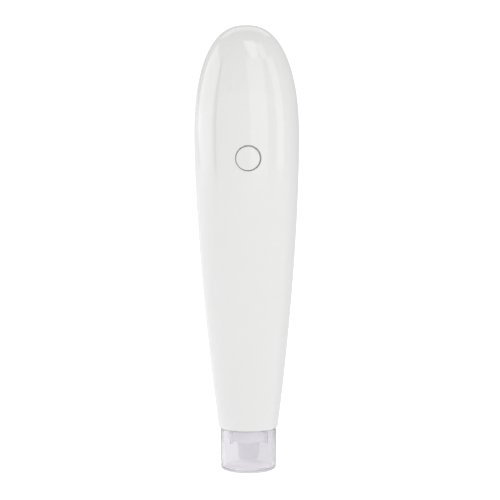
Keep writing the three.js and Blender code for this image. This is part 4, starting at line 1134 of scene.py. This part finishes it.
class PEN_OT_drive(bpy.types.Operator):
    """Guide bush, rod, slider and ball that carry the cam's stroke to the needles"""

    bl_idname = "pen.drive"
    bl_label = "Drive"

    def execute(self, context):
        low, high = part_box("slide_bush")
        profile = tube_profile(1.55 * MM, high.x, low.z, high.z)
        lathe("guide_bush", "housing", "bronze", "slide_bush", profile, 0.3 * MM)

        low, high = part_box("drive_rod")
        profile = [(0, low.z), (high.x, low.z), (high.x, high.z), (0, high.z)]
        lathe("push_rod", "drive", "steel", "drive_rod", profile, 0.2 * MM)

        low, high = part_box("drive_ball")
        centre, radius = (low + high) / 2, (high.z - low.z) / 2
        arc = [math.pi * i / FEW_TURN_STEPS for i in range(FEW_TURN_STEPS + 1)]
        profile = [(radius * math.sin(a), centre.z - radius * math.cos(a)) for a in arc]
        ball_place = Matrix.Translation((centre.x, centre.y, 0))
        lathe("follower_ball", "drive", "steel", "drive_ball", profile, 0, place=ball_place)

        low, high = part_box("drive_slider")
        size = high - low
        rod_seat, ball_seat, corner = 1.55 * MM, 1.8 * MM, 0.8 * MM
        bm = bmesh.new()
        flare = 0.15 * MM
        loops = [circle(bm, rod_seat, (0, 0, low.z + rise)) for rise in (2.5 * MM, flare)]
        loops.append(circle(bm, rod_seat + flare, (0, 0, low.z)))
        # Insets and heights in mm: rounded edges, and an oil groove round the middle
        side = ((0.2, 0), (0.06, 0.06), (0, 0.2), (0, 1.9), (0.35, 2.2))
        side += ((0.35, 2.8), (0, 3.1), (0, 4.8), (0.06, 4.94), (0.2, 5))
        for inset, rise in ((MM * a, MM * b) for a, b in side):
            width, depth = size.x - 2 * inset, size.y - 2 * inset
            loops.append(loop(bm, width, depth, corner - inset, (0, 0, low.z + rise)))
        loops.append(circle(bm, ball_seat + flare, (centre.x, 0, high.z)))
        for drop in (flare, 1.6 * MM):
            loops.append(circle(bm, ball_seat, (centre.x, 0, high.z - drop)))
        stacked(bm, loops)
        add_piece(bm, "slider_block", "drive", "slide_plastic", "drive_slider")
        return {"FINISHED"}


class PEN_OT_motor(bpy.types.Operator):
    """Motor with its armature, bearings and rubber sleeve"""

    bl_idname = "pen.motor"
    bl_label = "Motor"

    def execute(self, context):
        low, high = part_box("motor_can")
        boss, boss_outer, wall, boss_height, face = 2.9 * MM, 3.7 * MM, 0.7 * MM, 1.8 * MM, 0.8 * MM
        front = low.z + boss_height
        profile = [(boss, low.z), (boss_outer, low.z), (boss_outer, front), (high.x, front)]
        profile += [(high.x, high.z), (high.x - wall, high.z), (high.x - wall, front + face)]
        profile += [(boss, front + face)]
        lathe("drawn_can", "housing", "can_steel", "motor_can", profile, 0.35 * MM, TURN_STEPS)

        low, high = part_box("motor_magnet")
        profile = tube_profile(high.x - 1.1 * MM, high.x, low.z, high.z)
        lathe("ring_magnet", "housing", "magnet", "motor_magnet", profile, 0.2 * MM, TURN_STEPS)

        for end in ("front", "rear"):
            name, node = f"{end}_bearing", f"motor_{end}_bush"
            low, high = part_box(node)
            profile = tube_profile(1.3 * MM, 2.6 * MM, low.z, high.z)
            lathe(name, "housing", "bronze", node, profile, 0.2 * MM)

        low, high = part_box("motor_sleeve")
        bore, ribs = 8.3 * MM, 6
        profile = [(bore, low.z), (high.x, low.z)]
        pitch = (high.z - low.z) / ribs
        for i in range(ribs):
            z = low.z + pitch * i
            groove = ((0, 0.62), (0.3, 0.7), (0.3, 0.92), (0, 1.0))
            profile += [(high.x - inset * MM, z + pitch * rise) for inset, rise in groove]
        profile += [(high.x, high.z), (bore, high.z)]
        profile = [p for i, p in enumerate(profile) if i == 0 or p != profile[i - 1]]
        lathe("rubber_sleeve", "housing", "rubber", "motor_sleeve", profile, 0.1 * MM, TURN_STEPS)

        low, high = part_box("motor_end_bell")
        plug, flange_low, skin_low = 7 * MM, low.z + 1.8 * MM, high.z - 0.8 * MM
        profile = [(0, skin_low), (2.9 * MM, skin_low), (2.9 * MM, low.z), (plug, low.z)]
        profile += [(plug, flange_low), (8 * MM, flange_low), (8 * MM, high.z), (2 * MM, high.z)]
        profile += [(1.8 * MM, high.z - 0.3 * MM), (0, high.z - 0.3 * MM)]
        slot, edge = "black_plastic", 0.15 * MM
        lathe("end_cap", "housing", slot, "motor_end_bell", profile, edge, TURN_STEPS)
        for side in ("left", "right"):
            node = f"motor_terminal_{side}"
            low, high, size, middle = extent(node)
            bm = bmesh.new()
            block(bm, size.x, size.y, low.z, high.z, 0.2 * MM, middle.xy, 0.15 * MM)
            add_piece(bm, f"solder_tag_{side}", "housing", "bronze", node)
        armature()
        return {"FINISHED"}


def armature():
    """Shaft, wound armature with its end discs, and commutator with its slots."""
    low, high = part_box("motor_rotor")
    shaft, core, commutator, disc, disc_rim = 1 * MM, 5.5 * MM, 2.6 * MM, 4.2 * MM, 4.9 * MM
    core_low, core_high = low_of("motor_magnet").z + MM, high_of("motor_magnet").z - MM
    copper_low = core_high + 0.8 * MM
    copper_high = copper_low + 2.6 * MM
    profile = [(0, low.z), (shaft, low.z), (shaft, core_low), (disc, core_low)]
    turns = 12
    wound = core_high - core_low - 3 * MM
    profile += [(disc_rim, core_low + 0.6 * MM), (disc_rim, core_low + 1.4 * MM)]
    for i in range(turns):
        z = core_low + 1.5 * MM + wound * i / turns
        profile += [(core - 0.25 * MM, z), (core, z + wound / turns / 2)]
    profile += [(core - 0.25 * MM, core_high - 1.5 * MM), (disc_rim, core_high - 1.4 * MM)]
    profile += [(disc_rim, core_high - 0.6 * MM), (disc, core_high), (shaft, core_high)]
    profile += [(shaft, copper_low), (commutator, copper_low), (commutator, copper_high)]
    profile += [(shaft, copper_high), (shaft, high.z), (0, high.z)]
    bm = bmesh.new()
    turned(bm, profile)
    # Three slots between the commutator's bars
    step, pitch = 360 / TURN_STEPS, TURN_STEPS // 3
    slots = [
        f
        for f in bm.faces
        if copper_low < f.calc_center_median().z < copper_high
        and abs(f.calc_center_median().xy.length - commutator) < 0.02 * MM
        and round(math.degrees(math.atan2(*f.calc_center_median().xy)) / step) % pitch == 0
    ]
    bmesh.ops.inset_individual(bm, faces=slots, thickness=0.03 * MM, depth=-0.3 * MM)
    for f in bm.faces:
        if f.calc_center_median().xy.length < 1.2 * MM:
            f.material_index = 1
    add_piece(bm, "wound_armature", "rotor", "copper", "motor_rotor", "steel")

    low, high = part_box("face_cam")
    bore, radius, hub = 1.3 * MM, 4.4 * MM, 3 * MM
    stroke, ball_track = 1.5, 2.6
    slope = stroke / 2 / ball_track
    foot = high.z - 6.4 * MM
    rim = foot + 3.6 * MM
    profile = [(0, foot), (radius, foot), (radius, rim), (hub, rim), (hub, high.z)]
    profile += [(bore, high.z), (bore, foot + 1.3 * MM), (0, foot + 1.3 * MM)]
    bm = bmesh.new()
    turned(bm, profile)
    soften(bm, 0.2 * MM, 2)
    for v in bm.verts:
        share = 1 - (v.co.z - foot) / (1.2 * MM)
        if share > 0:
            v.co.z += slope * v.co.x * min(1.0, share * 1.3)
    add_piece(bm, "swash_cam", "rotor", "slide_plastic", "face_cam")

    node = "cam_grub_screw"
    low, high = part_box(node)
    long = high.x - low.x
    socket = 0.35 * MM
    profile = [(0, 0), (0.6 * MM, 0), (0.7 * MM, 0.1 * MM), (0.7 * MM, long), (socket, long)]
    profile += [(socket, long - 0.7 * MM), (0, long - 0.7 * MM)]
    seat = Matrix.Translation((low.x, 0, (low.z + high.z) / 2))
    place = seat @ Matrix.Rotation(math.pi / 2, 4, "Y")
    lathe("cam_set_screw", "rotor", "steel", node, profile, 0, FEW_TURN_STEPS, place=place)


# Screws and electrics


def cross(bm, reach, half_width, height, steps):
    """A level outline of a cross recess."""
    made = circle(bm, reach, (0, 0, height), steps)
    for v in made:
        across, along = sorted((abs(v.co.x), abs(v.co.y)))
        v.co.xy *= min(reach / along, half_width / across)
    return made


def pan_screw(name, node, head, head_height, shank, shank_length, place):
    """A pan-head screw with thread rings and a cross recess, its head below its shank."""
    steps, pitch = 32, 0.5 * MM
    bm = bmesh.new()
    stem = [(0.4 * shank, shank_length), (shank, shank_length - 0.4 * MM)]
    threads = int((shank_length - 1.1 * MM) / pitch)
    for i in range(threads):
        top = shank_length - 0.4 * MM - pitch * i
        stem += [(0.78 * shank, top - pitch / 2), (shank, top - pitch)]
    stem += [(shank, 0), (head, 0), (head, -0.45 * head_height)]
    stem += [(0.94 * head, -0.75 * head_height), (0.78 * head, -head_height)]
    loops = [circle(bm, radius, (0, 0, z), steps) for radius, z in stem]
    loops.append(cross(bm, 0.55 * head, 0.16 * head, -head_height, steps))
    loops.append(cross(bm, 0.4 * head, 0.12 * head, -0.45 * head_height, steps))
    stacked(bm, loops)
    moved(bm, place)
    add_piece(bm, name, "housing", "steel", node)


class PEN_OT_screws(bpy.types.Operator):
    """Screws of the shells, the motor and the control board"""

    bl_idname = "pen.screws"
    bl_label = "Screws"

    def execute(self, context):
        for where in ("low_left", "low_right", "top_left", "top_right"):
            node = f"shell_screw_{where}"
            low, _, _, middle = extent(node)
            shank = 5.6 * MM
            place = towards_front(middle.x, low.y + shank, middle.z)
            pan_screw(f"case_screw_{where}", node, 1.6 * MM, MM, 0.8 * MM, shank, place)
        for side in ("left", "right"):
            node = f"motor_screw_{side}"
            low, _, size, middle = extent(node)
            head = 1.2 * MM
            place = Matrix.Translation((middle.x, 0, low.z + head))
            shank = size.z - head
            pan_screw(f"mount_screw_{side}", node, 1.4 * MM, head, 0.8 * MM, shank, place)
        for where in ("low", "top"):
            node = f"board_screw_{where}"
            low, _, size, middle = extent(node)
            head = 0.9 * MM
            face = Matrix.Translation((middle.x, low.y + head, middle.z))
            place = face @ Matrix.Rotation(-math.pi / 2, 4, "X")
            shank = size.y - head
            pan_screw(f"pcb_screw_{where}", node, 1.3 * MM, head, 0.7 * MM, shank, place)
        return {"FINISHED"}


class PEN_OT_battery(bpy.types.Operator):
    """Battery cell in its shrunk sleeve, with foam pads at its ends"""

    bl_idname = "pen.battery"
    bl_label = "Battery"

    def execute(self, context):
        low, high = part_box("battery_cell")
        radius, edge, button = high.x, 0.6 * MM, 2.7 * MM
        shoulder = high.z - 0.5 * MM
        crimp = shoulder - 4.5 * MM
        profile = [(0, low.z), (radius - 1.8 * MM, low.z), (radius - edge, low.z)]
        profile += [(radius, low.z + edge), (radius, crimp - 0.7 * MM), (radius - 0.35 * MM, crimp)]
        profile += [(radius, crimp + 0.7 * MM), (radius, shoulder - edge)]
        profile += [(radius - edge, shoulder), (radius - 1.4 * MM, shoulder)]
        profile += [(radius - 1.6 * MM, shoulder - 0.3 * MM)]
        profile += [(3.4 * MM, shoulder - 0.3 * MM), (button, shoulder), (button, high.z)]
        profile += [(0, high.z)]
        bm = bmesh.new()
        turned(bm, profile)
        soften(bm, 0.18 * MM, 2)
        for f in bm.faces:
            place = f.calc_center_median()
            end = place.z > shoulder - 0.6 * MM or place.z < low.z + 0.1 * MM
            f.material_index = 1 if end and place.xy.length < radius - 1.3 * MM else 0
        moved(bm, Matrix.Translation((0, (low.y + high.y) / 2, 0)))
        add_piece(bm, "cell", "housing", "cell_sleeve", "battery_cell", "can_steel")
        for where in ("low", "top"):
            node = f"battery_pad_{where}"
            low, high, size, middle = extent(node)
            bm = bmesh.new()
            block(bm, size.x, size.y, low.z, high.z, MM, middle.xy, 0.2 * MM)
            add_piece(bm, f"foam_pad_{where}", "housing", "foam", node)
        return {"FINISHED"}


def second_finish(bm, before):
    """Gives the faces that weren't there before the piece's second material."""
    for f in bm.faces:
        if f not in before:
            f.material_index = 1


def pads(bm, places, width, depth, height):
    """Tinned pads just proud of a board's face."""
    before = set(bm.faces)
    for x, y in places:
        tiers(bm, (x, y, height), [(width, depth, 0.1 * MM, rise) for rise in (0, PAD_RISE)], 12)
    second_finish(bm, before)


def legs(bm, places, body_side, reach, height):
    """Bent legs of a chip, from its sides down to the board."""
    before = set(bm.faces)
    foot, knee = reach - 0.18 * MM, 0.1 * MM
    bends = [(foot, 0, 0.3 * MM), (foot, 0.12 * MM, 0.3 * MM), (body_side, height / 2, 0.16 * MM)]
    bends += [(body_side - knee, height / 2 + 0.06 * MM, 0.12 * MM)]
    for y in places:
        for side in (-1, 1):
            rows = [((side * x, y, z), long) for x, z, long in bends]
            stacked(bm, [loop(bm, long, 0.24 * MM, 0.03 * MM, at, 12) for at, long in rows])
    second_finish(bm, before)


def chip(name, node, rows):
    """An epoxy chip with bent legs and a dimple at its first leg."""
    _, high, size, middle = extent(node)
    side, height, taper = size.x / 2, size.y, 0.1 * MM
    body = side - 0.45 * MM
    bm = bmesh.new()
    across, along = 2 * body, size.z - 0.2 * MM
    outlines = ((taper, taper), (0, height / 2), (taper, height))
    sides = [(across - 2 * a, along - 2 * a, 0.12 * MM, rise) for a, rise in outlines]
    tiers(bm, (0, 0, 0), sides, FEW_TURN_STEPS)
    x, y = 0.6 * MM - body, along / 2 - 0.6 * MM
    dimple = ((0.25 * MM, height - 0.02 * MM), (0.2 * MM, height + 0.01 * MM))
    stacked(bm, [circle(bm, radius, (x, y, z), FEW_TURN_STEPS) for radius, z in dimple])
    pitch = along / rows
    legs(bm, [(i - (rows - 1) / 2) * pitch for i in range(rows)], body, side, height)
    moved(bm, towards_front(middle.x, high.y, middle.z))
    add_piece(bm, name, "housing", "black_plastic", node, "tinned")


def wire_housing(name, node, sockets_up):
    """A moulded housing whose two leads go in at one end."""
    low, high, size, middle = extent(node)
    deep = 0.5 * MM
    start = high.z - deep if sockets_up else low.z
    bm = bmesh.new()
    loops = [loop(bm, size.x, size.y, 0.3 * MM, (middle.x, middle.y, start), FEW_TURN_STEPS)]
    for side in (-1, 1):
        place = (middle.x + side * 1.25 * MM, middle.y, start)
        loops.append(loop(bm, 1.5 * MM, 1.5 * MM, 0.15 * MM, place, FEW_TURN_STEPS))
    slab(bm, loops, deep)
    body_low, body_high = (low.z, start) if sockets_up else (start + deep, high.z)
    block(bm, size.x, size.y, body_low, body_high, 0.3 * MM, middle.xy)
    # Two ribs down the front, which latch the housing in its header
    for side in (-1, 1):
        centre = (middle.x + side * 1.6 * MM, low.y + 0.12 * MM)
        block(bm, 0.5 * MM, 0.24 * MM, body_low + 0.4 * MM, body_high - 0.4 * MM, 0.1 * MM, centre)
    add_piece(bm, name, "housing", "connector_plastic", node)


class PEN_OT_electrics(bpy.types.Operator):
    """Circuit boards with their chips, switch, light and wire housings"""

    bl_idname = "pen.electrics"
    bl_label = "Electrics"

    def execute(self, context):
        _, high, size, middle = extent("control_board")
        bm = bmesh.new()
        loops = [loop(bm, size.x, size.z, MM, (0, 0, 0))]
        holes = [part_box(f"board_screw_{where}") for where in ("low", "top")]
        for hole_low, hole_high in holes:
            hole = (hole_low + hole_high) / 2
            loops.append(circle(bm, MM, (hole.x, hole.z - middle.z, 0)))
        slab(bm, loops, size.y)
        face, pitch = size.y, 1.3 * MM
        switch = middle_of("tact_switch_body").z - middle.z
        pads(bm, [(i * pitch, switch - 4.4 * MM) for i in range(-3, 4)], 0.7 * MM, 1.1 * MM, face)
        foot = 5.2 * MM - size.z / 2
        pads(bm, [(x * MM, foot) for x in (-3.8, 3.8)], MM, 1.6 * MM, face)
        places = [(x * MM, switch - y * MM) for x in (-6.2, 6.2) for y in (0, 1.6, 3.2)]
        pads(bm, places, MM, 0.6 * MM, face)
        moved(bm, towards_front(0, high.y, middle.z))
        add_piece(bm, "main_board", "housing", "circuit_board", "control_board", "tinned")

        low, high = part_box("charge_board")
        size = high - low
        half, tongue, shoulder = size.x / 2, 4.7 * MM, size.z - 3.5 * MM
        corners = [(-half, 0), (half, 0), (half, shoulder), (tongue, shoulder), (tongue, size.z)]
        corners += [(-tongue, size.z), (-tongue, shoulder), (-half, shoulder)]
        bm = bmesh.new()
        points = [bm.verts.new((x, y, 0)) for x, y in corners]
        for pair in zip(points, points[1:] + points[:1]):
            bm.edges.new(pair)
        slab(bm, [points], size.y)
        soften(bm, 0.4 * MM, where=lambda e: abs(e.verts[0].co.z - e.verts[1].co.z) > 0.5 * MM)
        row = [(x * MM, 8 * MM) for x in (-3.2, -2, -0.8, 0.8, 2, 3.2)]
        pads(bm, row, 0.6 * MM, 1.2 * MM, size.y)
        pads(bm, [(x * MM, 2.5 * MM) for x in (-1.25, 1.25, 4.6)], 1.3 * MM, 1.3 * MM, size.y)
        moved(bm, towards_front(0, high.y, low.z))
        add_piece(bm, "charger_board", "housing", "circuit_board", "charge_board", "tinned")

        chip("controller", "controller_chip", 6)
        chip("motor_driver", "motor_driver_chip", 4)
        chip("charger", "charge_chip", 4)

        _, high, size, middle = extent("tact_switch_body")
        wide, tall, cover, bore = size.x, size.y, 0.4 * MM, 2 * MM
        bm = bmesh.new()
        steps = [(wide, 0), (wide, tall - cover), (wide - 0.3 * MM, tall - cover)]
        steps += [(wide - 0.3 * MM, tall - 0.1 * MM), (wide - 0.5 * MM, tall)]
        loops = [loop(bm, side, side, 0.3 * MM, (0, 0, z)) for side, z in steps]
        loops += [circle(bm, bore, (0, 0, tall)), circle(bm, bore, (0, 0, tall - 2.2 * MM))]
        stacked(bm, loops)
        for f in bm.faces:
            place = f.calc_center_median()
            if place.z > tall - cover + 0.01 * MM and place.xy.length > bore:
                f.material_index = 1
        moved(bm, towards_front(middle.x, high.y, middle.z))
        add_piece(bm, "switch_case", "housing", "black_plastic", "tact_switch_body", "can_steel")

        node = "tact_plunger"
        _, high, size, middle = extent(node)
        radius, tall, dish = high.x, size.y, 0.15 * MM
        profile = [(0, 0), (radius, 0), (radius, tall), (0.9 * MM, tall), (0.7 * MM, tall - dish)]
        profile += [(0, tall - dish)]
        place = towards_front(0, high.y, middle.z)
        lathe("switch_plunger", "button", "grey_plastic", node, profile, 0.15 * MM, place=place)

        _, high, size, middle = extent("status_light")
        bm = bmesh.new()
        block(bm, size.x, size.z, 0, size.y * 0.45, 0.06 * MM)
        block(bm, size.x * 0.62, size.z * 0.9, size.y * 0.4, size.y, 0.06 * MM, edge=0.1 * MM)
        moved(bm, towards_front(middle.x, high.y, middle.z))
        add_piece(bm, "indicator", "housing", "light_lens", "status_light")

        wire_housing("motor_plug", "motor_connector", False)
        wire_housing("battery_plug", "battery_connector", True)
        return {"FINISHED"}


# Points along each lead, in mm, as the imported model's routes run
LEAD_ROUTES = {
    "motor_lead": (
        (4, 0, 97.92), (4, -0.25, 98.57), (4, -3.25, 99.07),
        (2.5, -6.5, 99.07), (1.25, -9.75, 101.42), (1.25, -9.75, 102.92),
    ),
    "link_lead": (
        (1.25, -9.75, 136.92), (1.25, -9.75, 139.42), (1.25, -9.75, 150.32), (1.25, -7.25, 155.42),
        (1.25, -2.25, 158.22), (1.25, 0.25, 158.22), (1.25, 2.45, 158.22),
    ),
    "battery_lead_red": (
        (2.5, 8.75, 152.62), (2.5, 8.75, 154.22), (2.5, 8.25, 155.92),
        (2.5, 6.45, 158.22), (2.5, 4.25, 158.22),
    ),
    "battery_lead_black": (
        (-2.5, 8.25, 102.12), (-2.5, 10.75, 102.12), (-2.5, 12.575, 104.62), (-2.5, 12.575, 107.12),
        (-2.5, 12.575, 127.82), (-2.5, 12.575, 149.22), (-2.5, 12.575, 151.72),
        (-2.5, 10.075, 155.92), (-2.5, 6.45, 158.22), (-2.5, 4.25, 158.22),
    ),
}


def lead(name, node, points, slot):
    """An insulated lead along its route, as a mesh tube."""
    data = bpy.data.curves.new(name, "CURVE")
    data.dimensions = "3D"
    data.bevel_depth = 0.48 * MM
    data.bevel_resolution = 3
    data.resolution_u = 10
    data.use_fill_caps = True
    spline = data.splines.new("BEZIER")
    spline.bezier_points.add(len(points) - 1)
    for place, (x, y, z) in zip(spline.bezier_points, points):
        place.co = (x * MM, y * MM, z * MM)
        place.handle_left_type = place.handle_right_type = "AUTO"
    carrier = bpy.data.objects.new(name, data)
    bpy.context.scene.collection.objects.link(carrier)
    bpy.context.view_layer.update()
    mesh = bpy.data.meshes.new_from_object(carrier)
    bpy.data.objects.remove(carrier)
    bpy.data.curves.remove(data)
    bm = bmesh.new()
    bm.from_mesh(mesh)
    bpy.data.meshes.remove(mesh)
    tightened(bm)
    for f in bm.faces:
        f.material_index = 0
    add_piece(bm, name, "housing", slot, node)


class PEN_OT_leads(bpy.types.Operator):
    """Insulated leads between the motor, the boards and the battery"""

    bl_idname = "pen.leads"
    bl_label = "Leads"

    def execute(self, context):
        for name in ("motor_lead", "link_lead"):
            for side, tint in ((-1, "red"), (1, "black")):
                points = [(side * x, y, z) for x, y, z in LEAD_ROUTES[name]]
                lead(f"{name[:-5]}_wire_{tint}", f"{name}_{tint}", points, f"lead_{tint}")
        for tint in ("red", "black"):
            node = f"battery_lead_{tint}"
            lead(f"battery_wire_{tint}", node, LEAD_ROUTES[node], f"lead_{tint}")
        return {"FINISHED"}


class PEN_OT_cad_pieces(bpy.types.Operator):
    """Gives each carried-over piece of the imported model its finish"""

    bl_idname = "pen.cad_pieces"
    bl_label = "Inner pieces"

    def execute(self, context):
        for row in frame["record"]["subparts"]:
            node = frame["nodes"][row["node"]]
            node.data.materials.clear()
            node.data.materials.append(finish(row["material_slot"]))
        return {"FINISHED"}


# Stage


class PEN_OT_stage(bpy.types.Operator):
    """Pale floor, soft studio lights, world and camera"""

    bl_idname = "pen.stage"
    bl_label = "Stage"

    def execute(self, context):
        make_camera()
        make_floor()
        make_lights()
        make_flag()
        make_world()
        return {"FINISHED"}


def heading(turn, rise):
    """The direction at a turn from the pen's front and a rise above level."""
    level = math.cos(rise)
    return Vector((math.sin(turn) * level, -math.cos(turn) * level, math.sin(rise)))


def make_camera():
    """A long lens, a little above the pen and a little to its left."""
    data = bpy.data.cameras.new("camera")
    data.sensor_width = 36
    data.lens = 226.6
    data.clip_end = 50
    camera = bpy.data.objects.new("camera", data)
    bpy.context.scene.collection.objects.link(camera)
    reach = 1.2
    back = heading(math.radians(-2), math.radians(7))
    aim = Vector((0.00103, 0, 0.08477))
    camera.location = aim + back * reach
    lean = Matrix.Rotation(math.radians(-0.33), 4, "Z")
    facing = (-back).to_track_quat("-Z", "Y").to_matrix().to_4x4()
    camera.rotation_euler = (facing @ lean).to_euler()
    bpy.context.scene.camera = camera


def make_floor():
    """A wide disc of pale seamless paper, overexposed to plain white where it is seen directly,
    with a painted shadow behind the pen and to its right.
    """
    bm = bmesh.new()
    bmesh.ops.create_circle(bm, cap_ends=True, segments=TURN_STEPS, radius=9)
    floor = new_object(bm, "floor")
    paper = plain_plastic("pale_paper", sizes("pen_colours").floor, 0.8, 3, 0, 0.0)
    tree = paper.node_tree
    # Painted shadow: the paper's glow for bounced light fades out behind the pen and to its right,
    # and this painted shade shows through the clear cap
    place = add_node(tree, "ShaderNodeTexCoord").outputs["Object"]
    sides = add_node(tree, "ShaderNodeSeparateXYZ", {0: place}).outputs
    right = {0: sides[0], "From Min": -MM, "From Max": 3 * MM}
    behind = {0: sides[1], "From Min": 0.0, "From Max": 20 * MM}
    shares = [add_node(tree, "ShaderNodeMapRange", way).outputs[0] for way in (right, behind)]
    shadow_share = add_node(tree, "ShaderNodeMath", dict(enumerate(shares)), operation="MULTIPLY")
    # The painted shadow as glow strength: 0.2 away from the pen, falling to none behind it and to
    # its right
    painted_shadow = add_node(tree, "ShaderNodeMapRange", {0: shadow_share.outputs[0], "To Min": 0.2, "To Max": 0.0})
    seen = add_node(tree, "ShaderNodeLightPath").outputs["Is Camera Ray"]
    glow_range = {0: seen, "To Min": painted_shadow.outputs[0], "To Max": 0.55}
    glow = add_node(tree, "ShaderNodeMapRange", glow_range)
    shader = tree.nodes["Principled BSDF"]
    shader.inputs["Specular IOR Level"].default_value = 0.0
    shader.inputs["Emission Color"].default_value = (1, 1, 1, 1)
    tree.links.new(glow.outputs[0], shader.inputs["Emission Strength"])
    floor.data.materials.append(paper)


# Name, the turns and the rises in degrees that each panel spans, seen from the pen, how far its top
# leans to the right, and brightness
PANELS = (
    ("left_panel", (-130, -60), (-9, 36), -10, 0.64),
    ("front_strip", (2, 26), (-9, 36), 0, 0.52),
    ("right_strip", (43, 66), (-9, 36), 4, 0.64),
    ("high_front_panel", (2, 22), (36, 72), 0, 1.1),
    ("high_right_panel", (24, 50), (36, 64), 0, 0.66),
    ("high_back_panel", (138, 222), (36, 64), 0, 0.4),
    ("roof_panel", (-24, 24), (66, 114), 0, 0.75),
)


def make_lights():
    """Soft panels round the pen. The reflections of their edges are the streaks in the gloss."""
    centre, reach = Vector((0, 0, 0.1)), 0.9
    for name, turns, rises, lean, brightness in PANELS:
        turn = math.radians(sum(turns) / 2)
        low, high = (math.radians(rise) for rise in rises)
        feet = [heading(turn, rise) for rise in (low, high)]
        middle = (feet[0] + feet[1]) / 2 * reach
        data = bpy.data.lights.new(name, "AREA")
        data.shape = "RECTANGLE"
        half_turn = math.radians(turns[1] - turns[0]) / 2
        data.size = 2 * math.tan(half_turn) * math.hypot(middle.x, middle.y)
        data.size_y = (feet[1] - feet[0]).length * reach
        data.energy = brightness * math.pi * data.size * data.size_y
        light = bpy.data.objects.new(name, data)
        bpy.context.scene.collection.objects.link(light)
        light.location = centre + middle
        facing = (-middle).to_track_quat("-Z", "Y").to_matrix()
        light.rotation_euler = (facing @ Matrix.Rotation(math.radians(lean), 3, "Z")).to_euler()
        light.visible_camera = False


def make_flag():
    """A narrow black card beside the left panel, which gives the gloss its dark line."""
    turn, reach, half_width, height, lean = math.radians(-51), 0.85, 0.06, 0.7, 0.12
    out = Vector((math.sin(turn), -math.cos(turn), 0))
    across = out.cross(Vector((0, 0, 1)))
    bm = bmesh.new()
    foot = [bm.verts.new(out * reach + across * side * half_width) for side in (-1, 1)]
    edge = bm.edges.new(foot)
    raised = bmesh.ops.extrude_edge_only(bm, edges=[edge])["geom"]
    slant = across * lean + Vector((0, 0, height))
    bmesh.ops.translate(bm, vec=slant, verts=points_of(raised))
    card = new_object(bm, "black_card")
    card.visible_camera = False
    card.visible_transmission = False
    card.visible_shadow = False
    card.data.materials.append(plain_plastic("matt_black_card", linear("#0c0c0d"), 0.9, 2, 40))


def make_world():
    """Even studio light, and plain white where it is seen directly."""
    world = bpy.data.worlds.new("studio")
    world.use_nodes = True
    background = world.node_tree.nodes["Background"]
    background.inputs["Color"].default_value = (1, 1, 1, 1)
    seen = add_node(world.node_tree, "ShaderNodeLightPath").outputs["Is Camera Ray"]
    glow = add_node(
        world.node_tree, "ShaderNodeMapRange", {0: seen, "To Min": 0.68, "To Max": 1.0}
    )
    world.node_tree.links.new(glow.outputs[0], background.inputs["Strength"])
    bpy.context.scene.world = world
    bpy.context.scene.view_settings.view_transform = "Standard"
    # Light reaches the pieces inside the clear ones only through many sharp bounces
    paths = bpy.context.scene.cycles
    paths.blur_glossy = 0.0
    paths.max_bounces = paths.transmission_bounces = 32
    paths.glossy_bounces = 16


class PEN_PT_panel(bpy.types.Panel):
    """Lists the pen's sizes, colours and pieces"""

    bl_idname = "PEN_PT_panel"
    bl_label = "Microneedling Pen"
    bl_space_type = "VIEW_3D"
    bl_region_type = "UI"
    bl_category = "Pen"

    def draw(self, context):
        for name, kind in SIZE_GROUPS.items():
            box = self.layout.box()
            for key in kind.__annotations__:
                box.prop(getattr(context.scene, name), key)
        for operator in OPERATORS:
            self.layout.operator(operator.bl_idname)


SIZE_GROUPS = {
    "pen_body": PenBody,
    "pen_button": PenButton,
    "pen_cap": PenCap,
    "pen_cartridge": PenCartridge,
    "pen_colours": PenColours,
}

OPERATORS = (
    PEN_OT_stage,
    PEN_OT_cad_pieces,
    PEN_OT_shells,
    PEN_OT_nose_ring,
    PEN_OT_power_button,
    PEN_OT_clear_cap,
    PEN_OT_cartridge,
    PEN_OT_cartridge_fittings,
    PEN_OT_needles,
    PEN_OT_charging_socket,
    PEN_OT_drive,
    PEN_OT_motor,
    PEN_OT_screws,
    PEN_OT_battery,
    PEN_OT_electrics,
    PEN_OT_leads,
)


def register():
    for kind in (*SIZE_GROUPS.values(), *OPERATORS, PEN_PT_panel):
        bpy.utils.register_class(kind)
    for name, kind in SIZE_GROUPS.items():
        setattr(bpy.types.Scene, name, PointerProperty(type=kind))


def unregister():
    for name in SIZE_GROUPS:
        delattr(bpy.types.Scene, name)
    for kind in (PEN_PT_panel, *reversed(OPERATORS), *SIZE_GROUPS.values()):
        bpy.utils.unregister_class(kind)


def main():
    register()
    for operator in OPERATORS:
        group, name = operator.bl_idname.split(".")
        getattr(getattr(bpy.ops, group), name)()


if __name__ == "__main__":
    main()
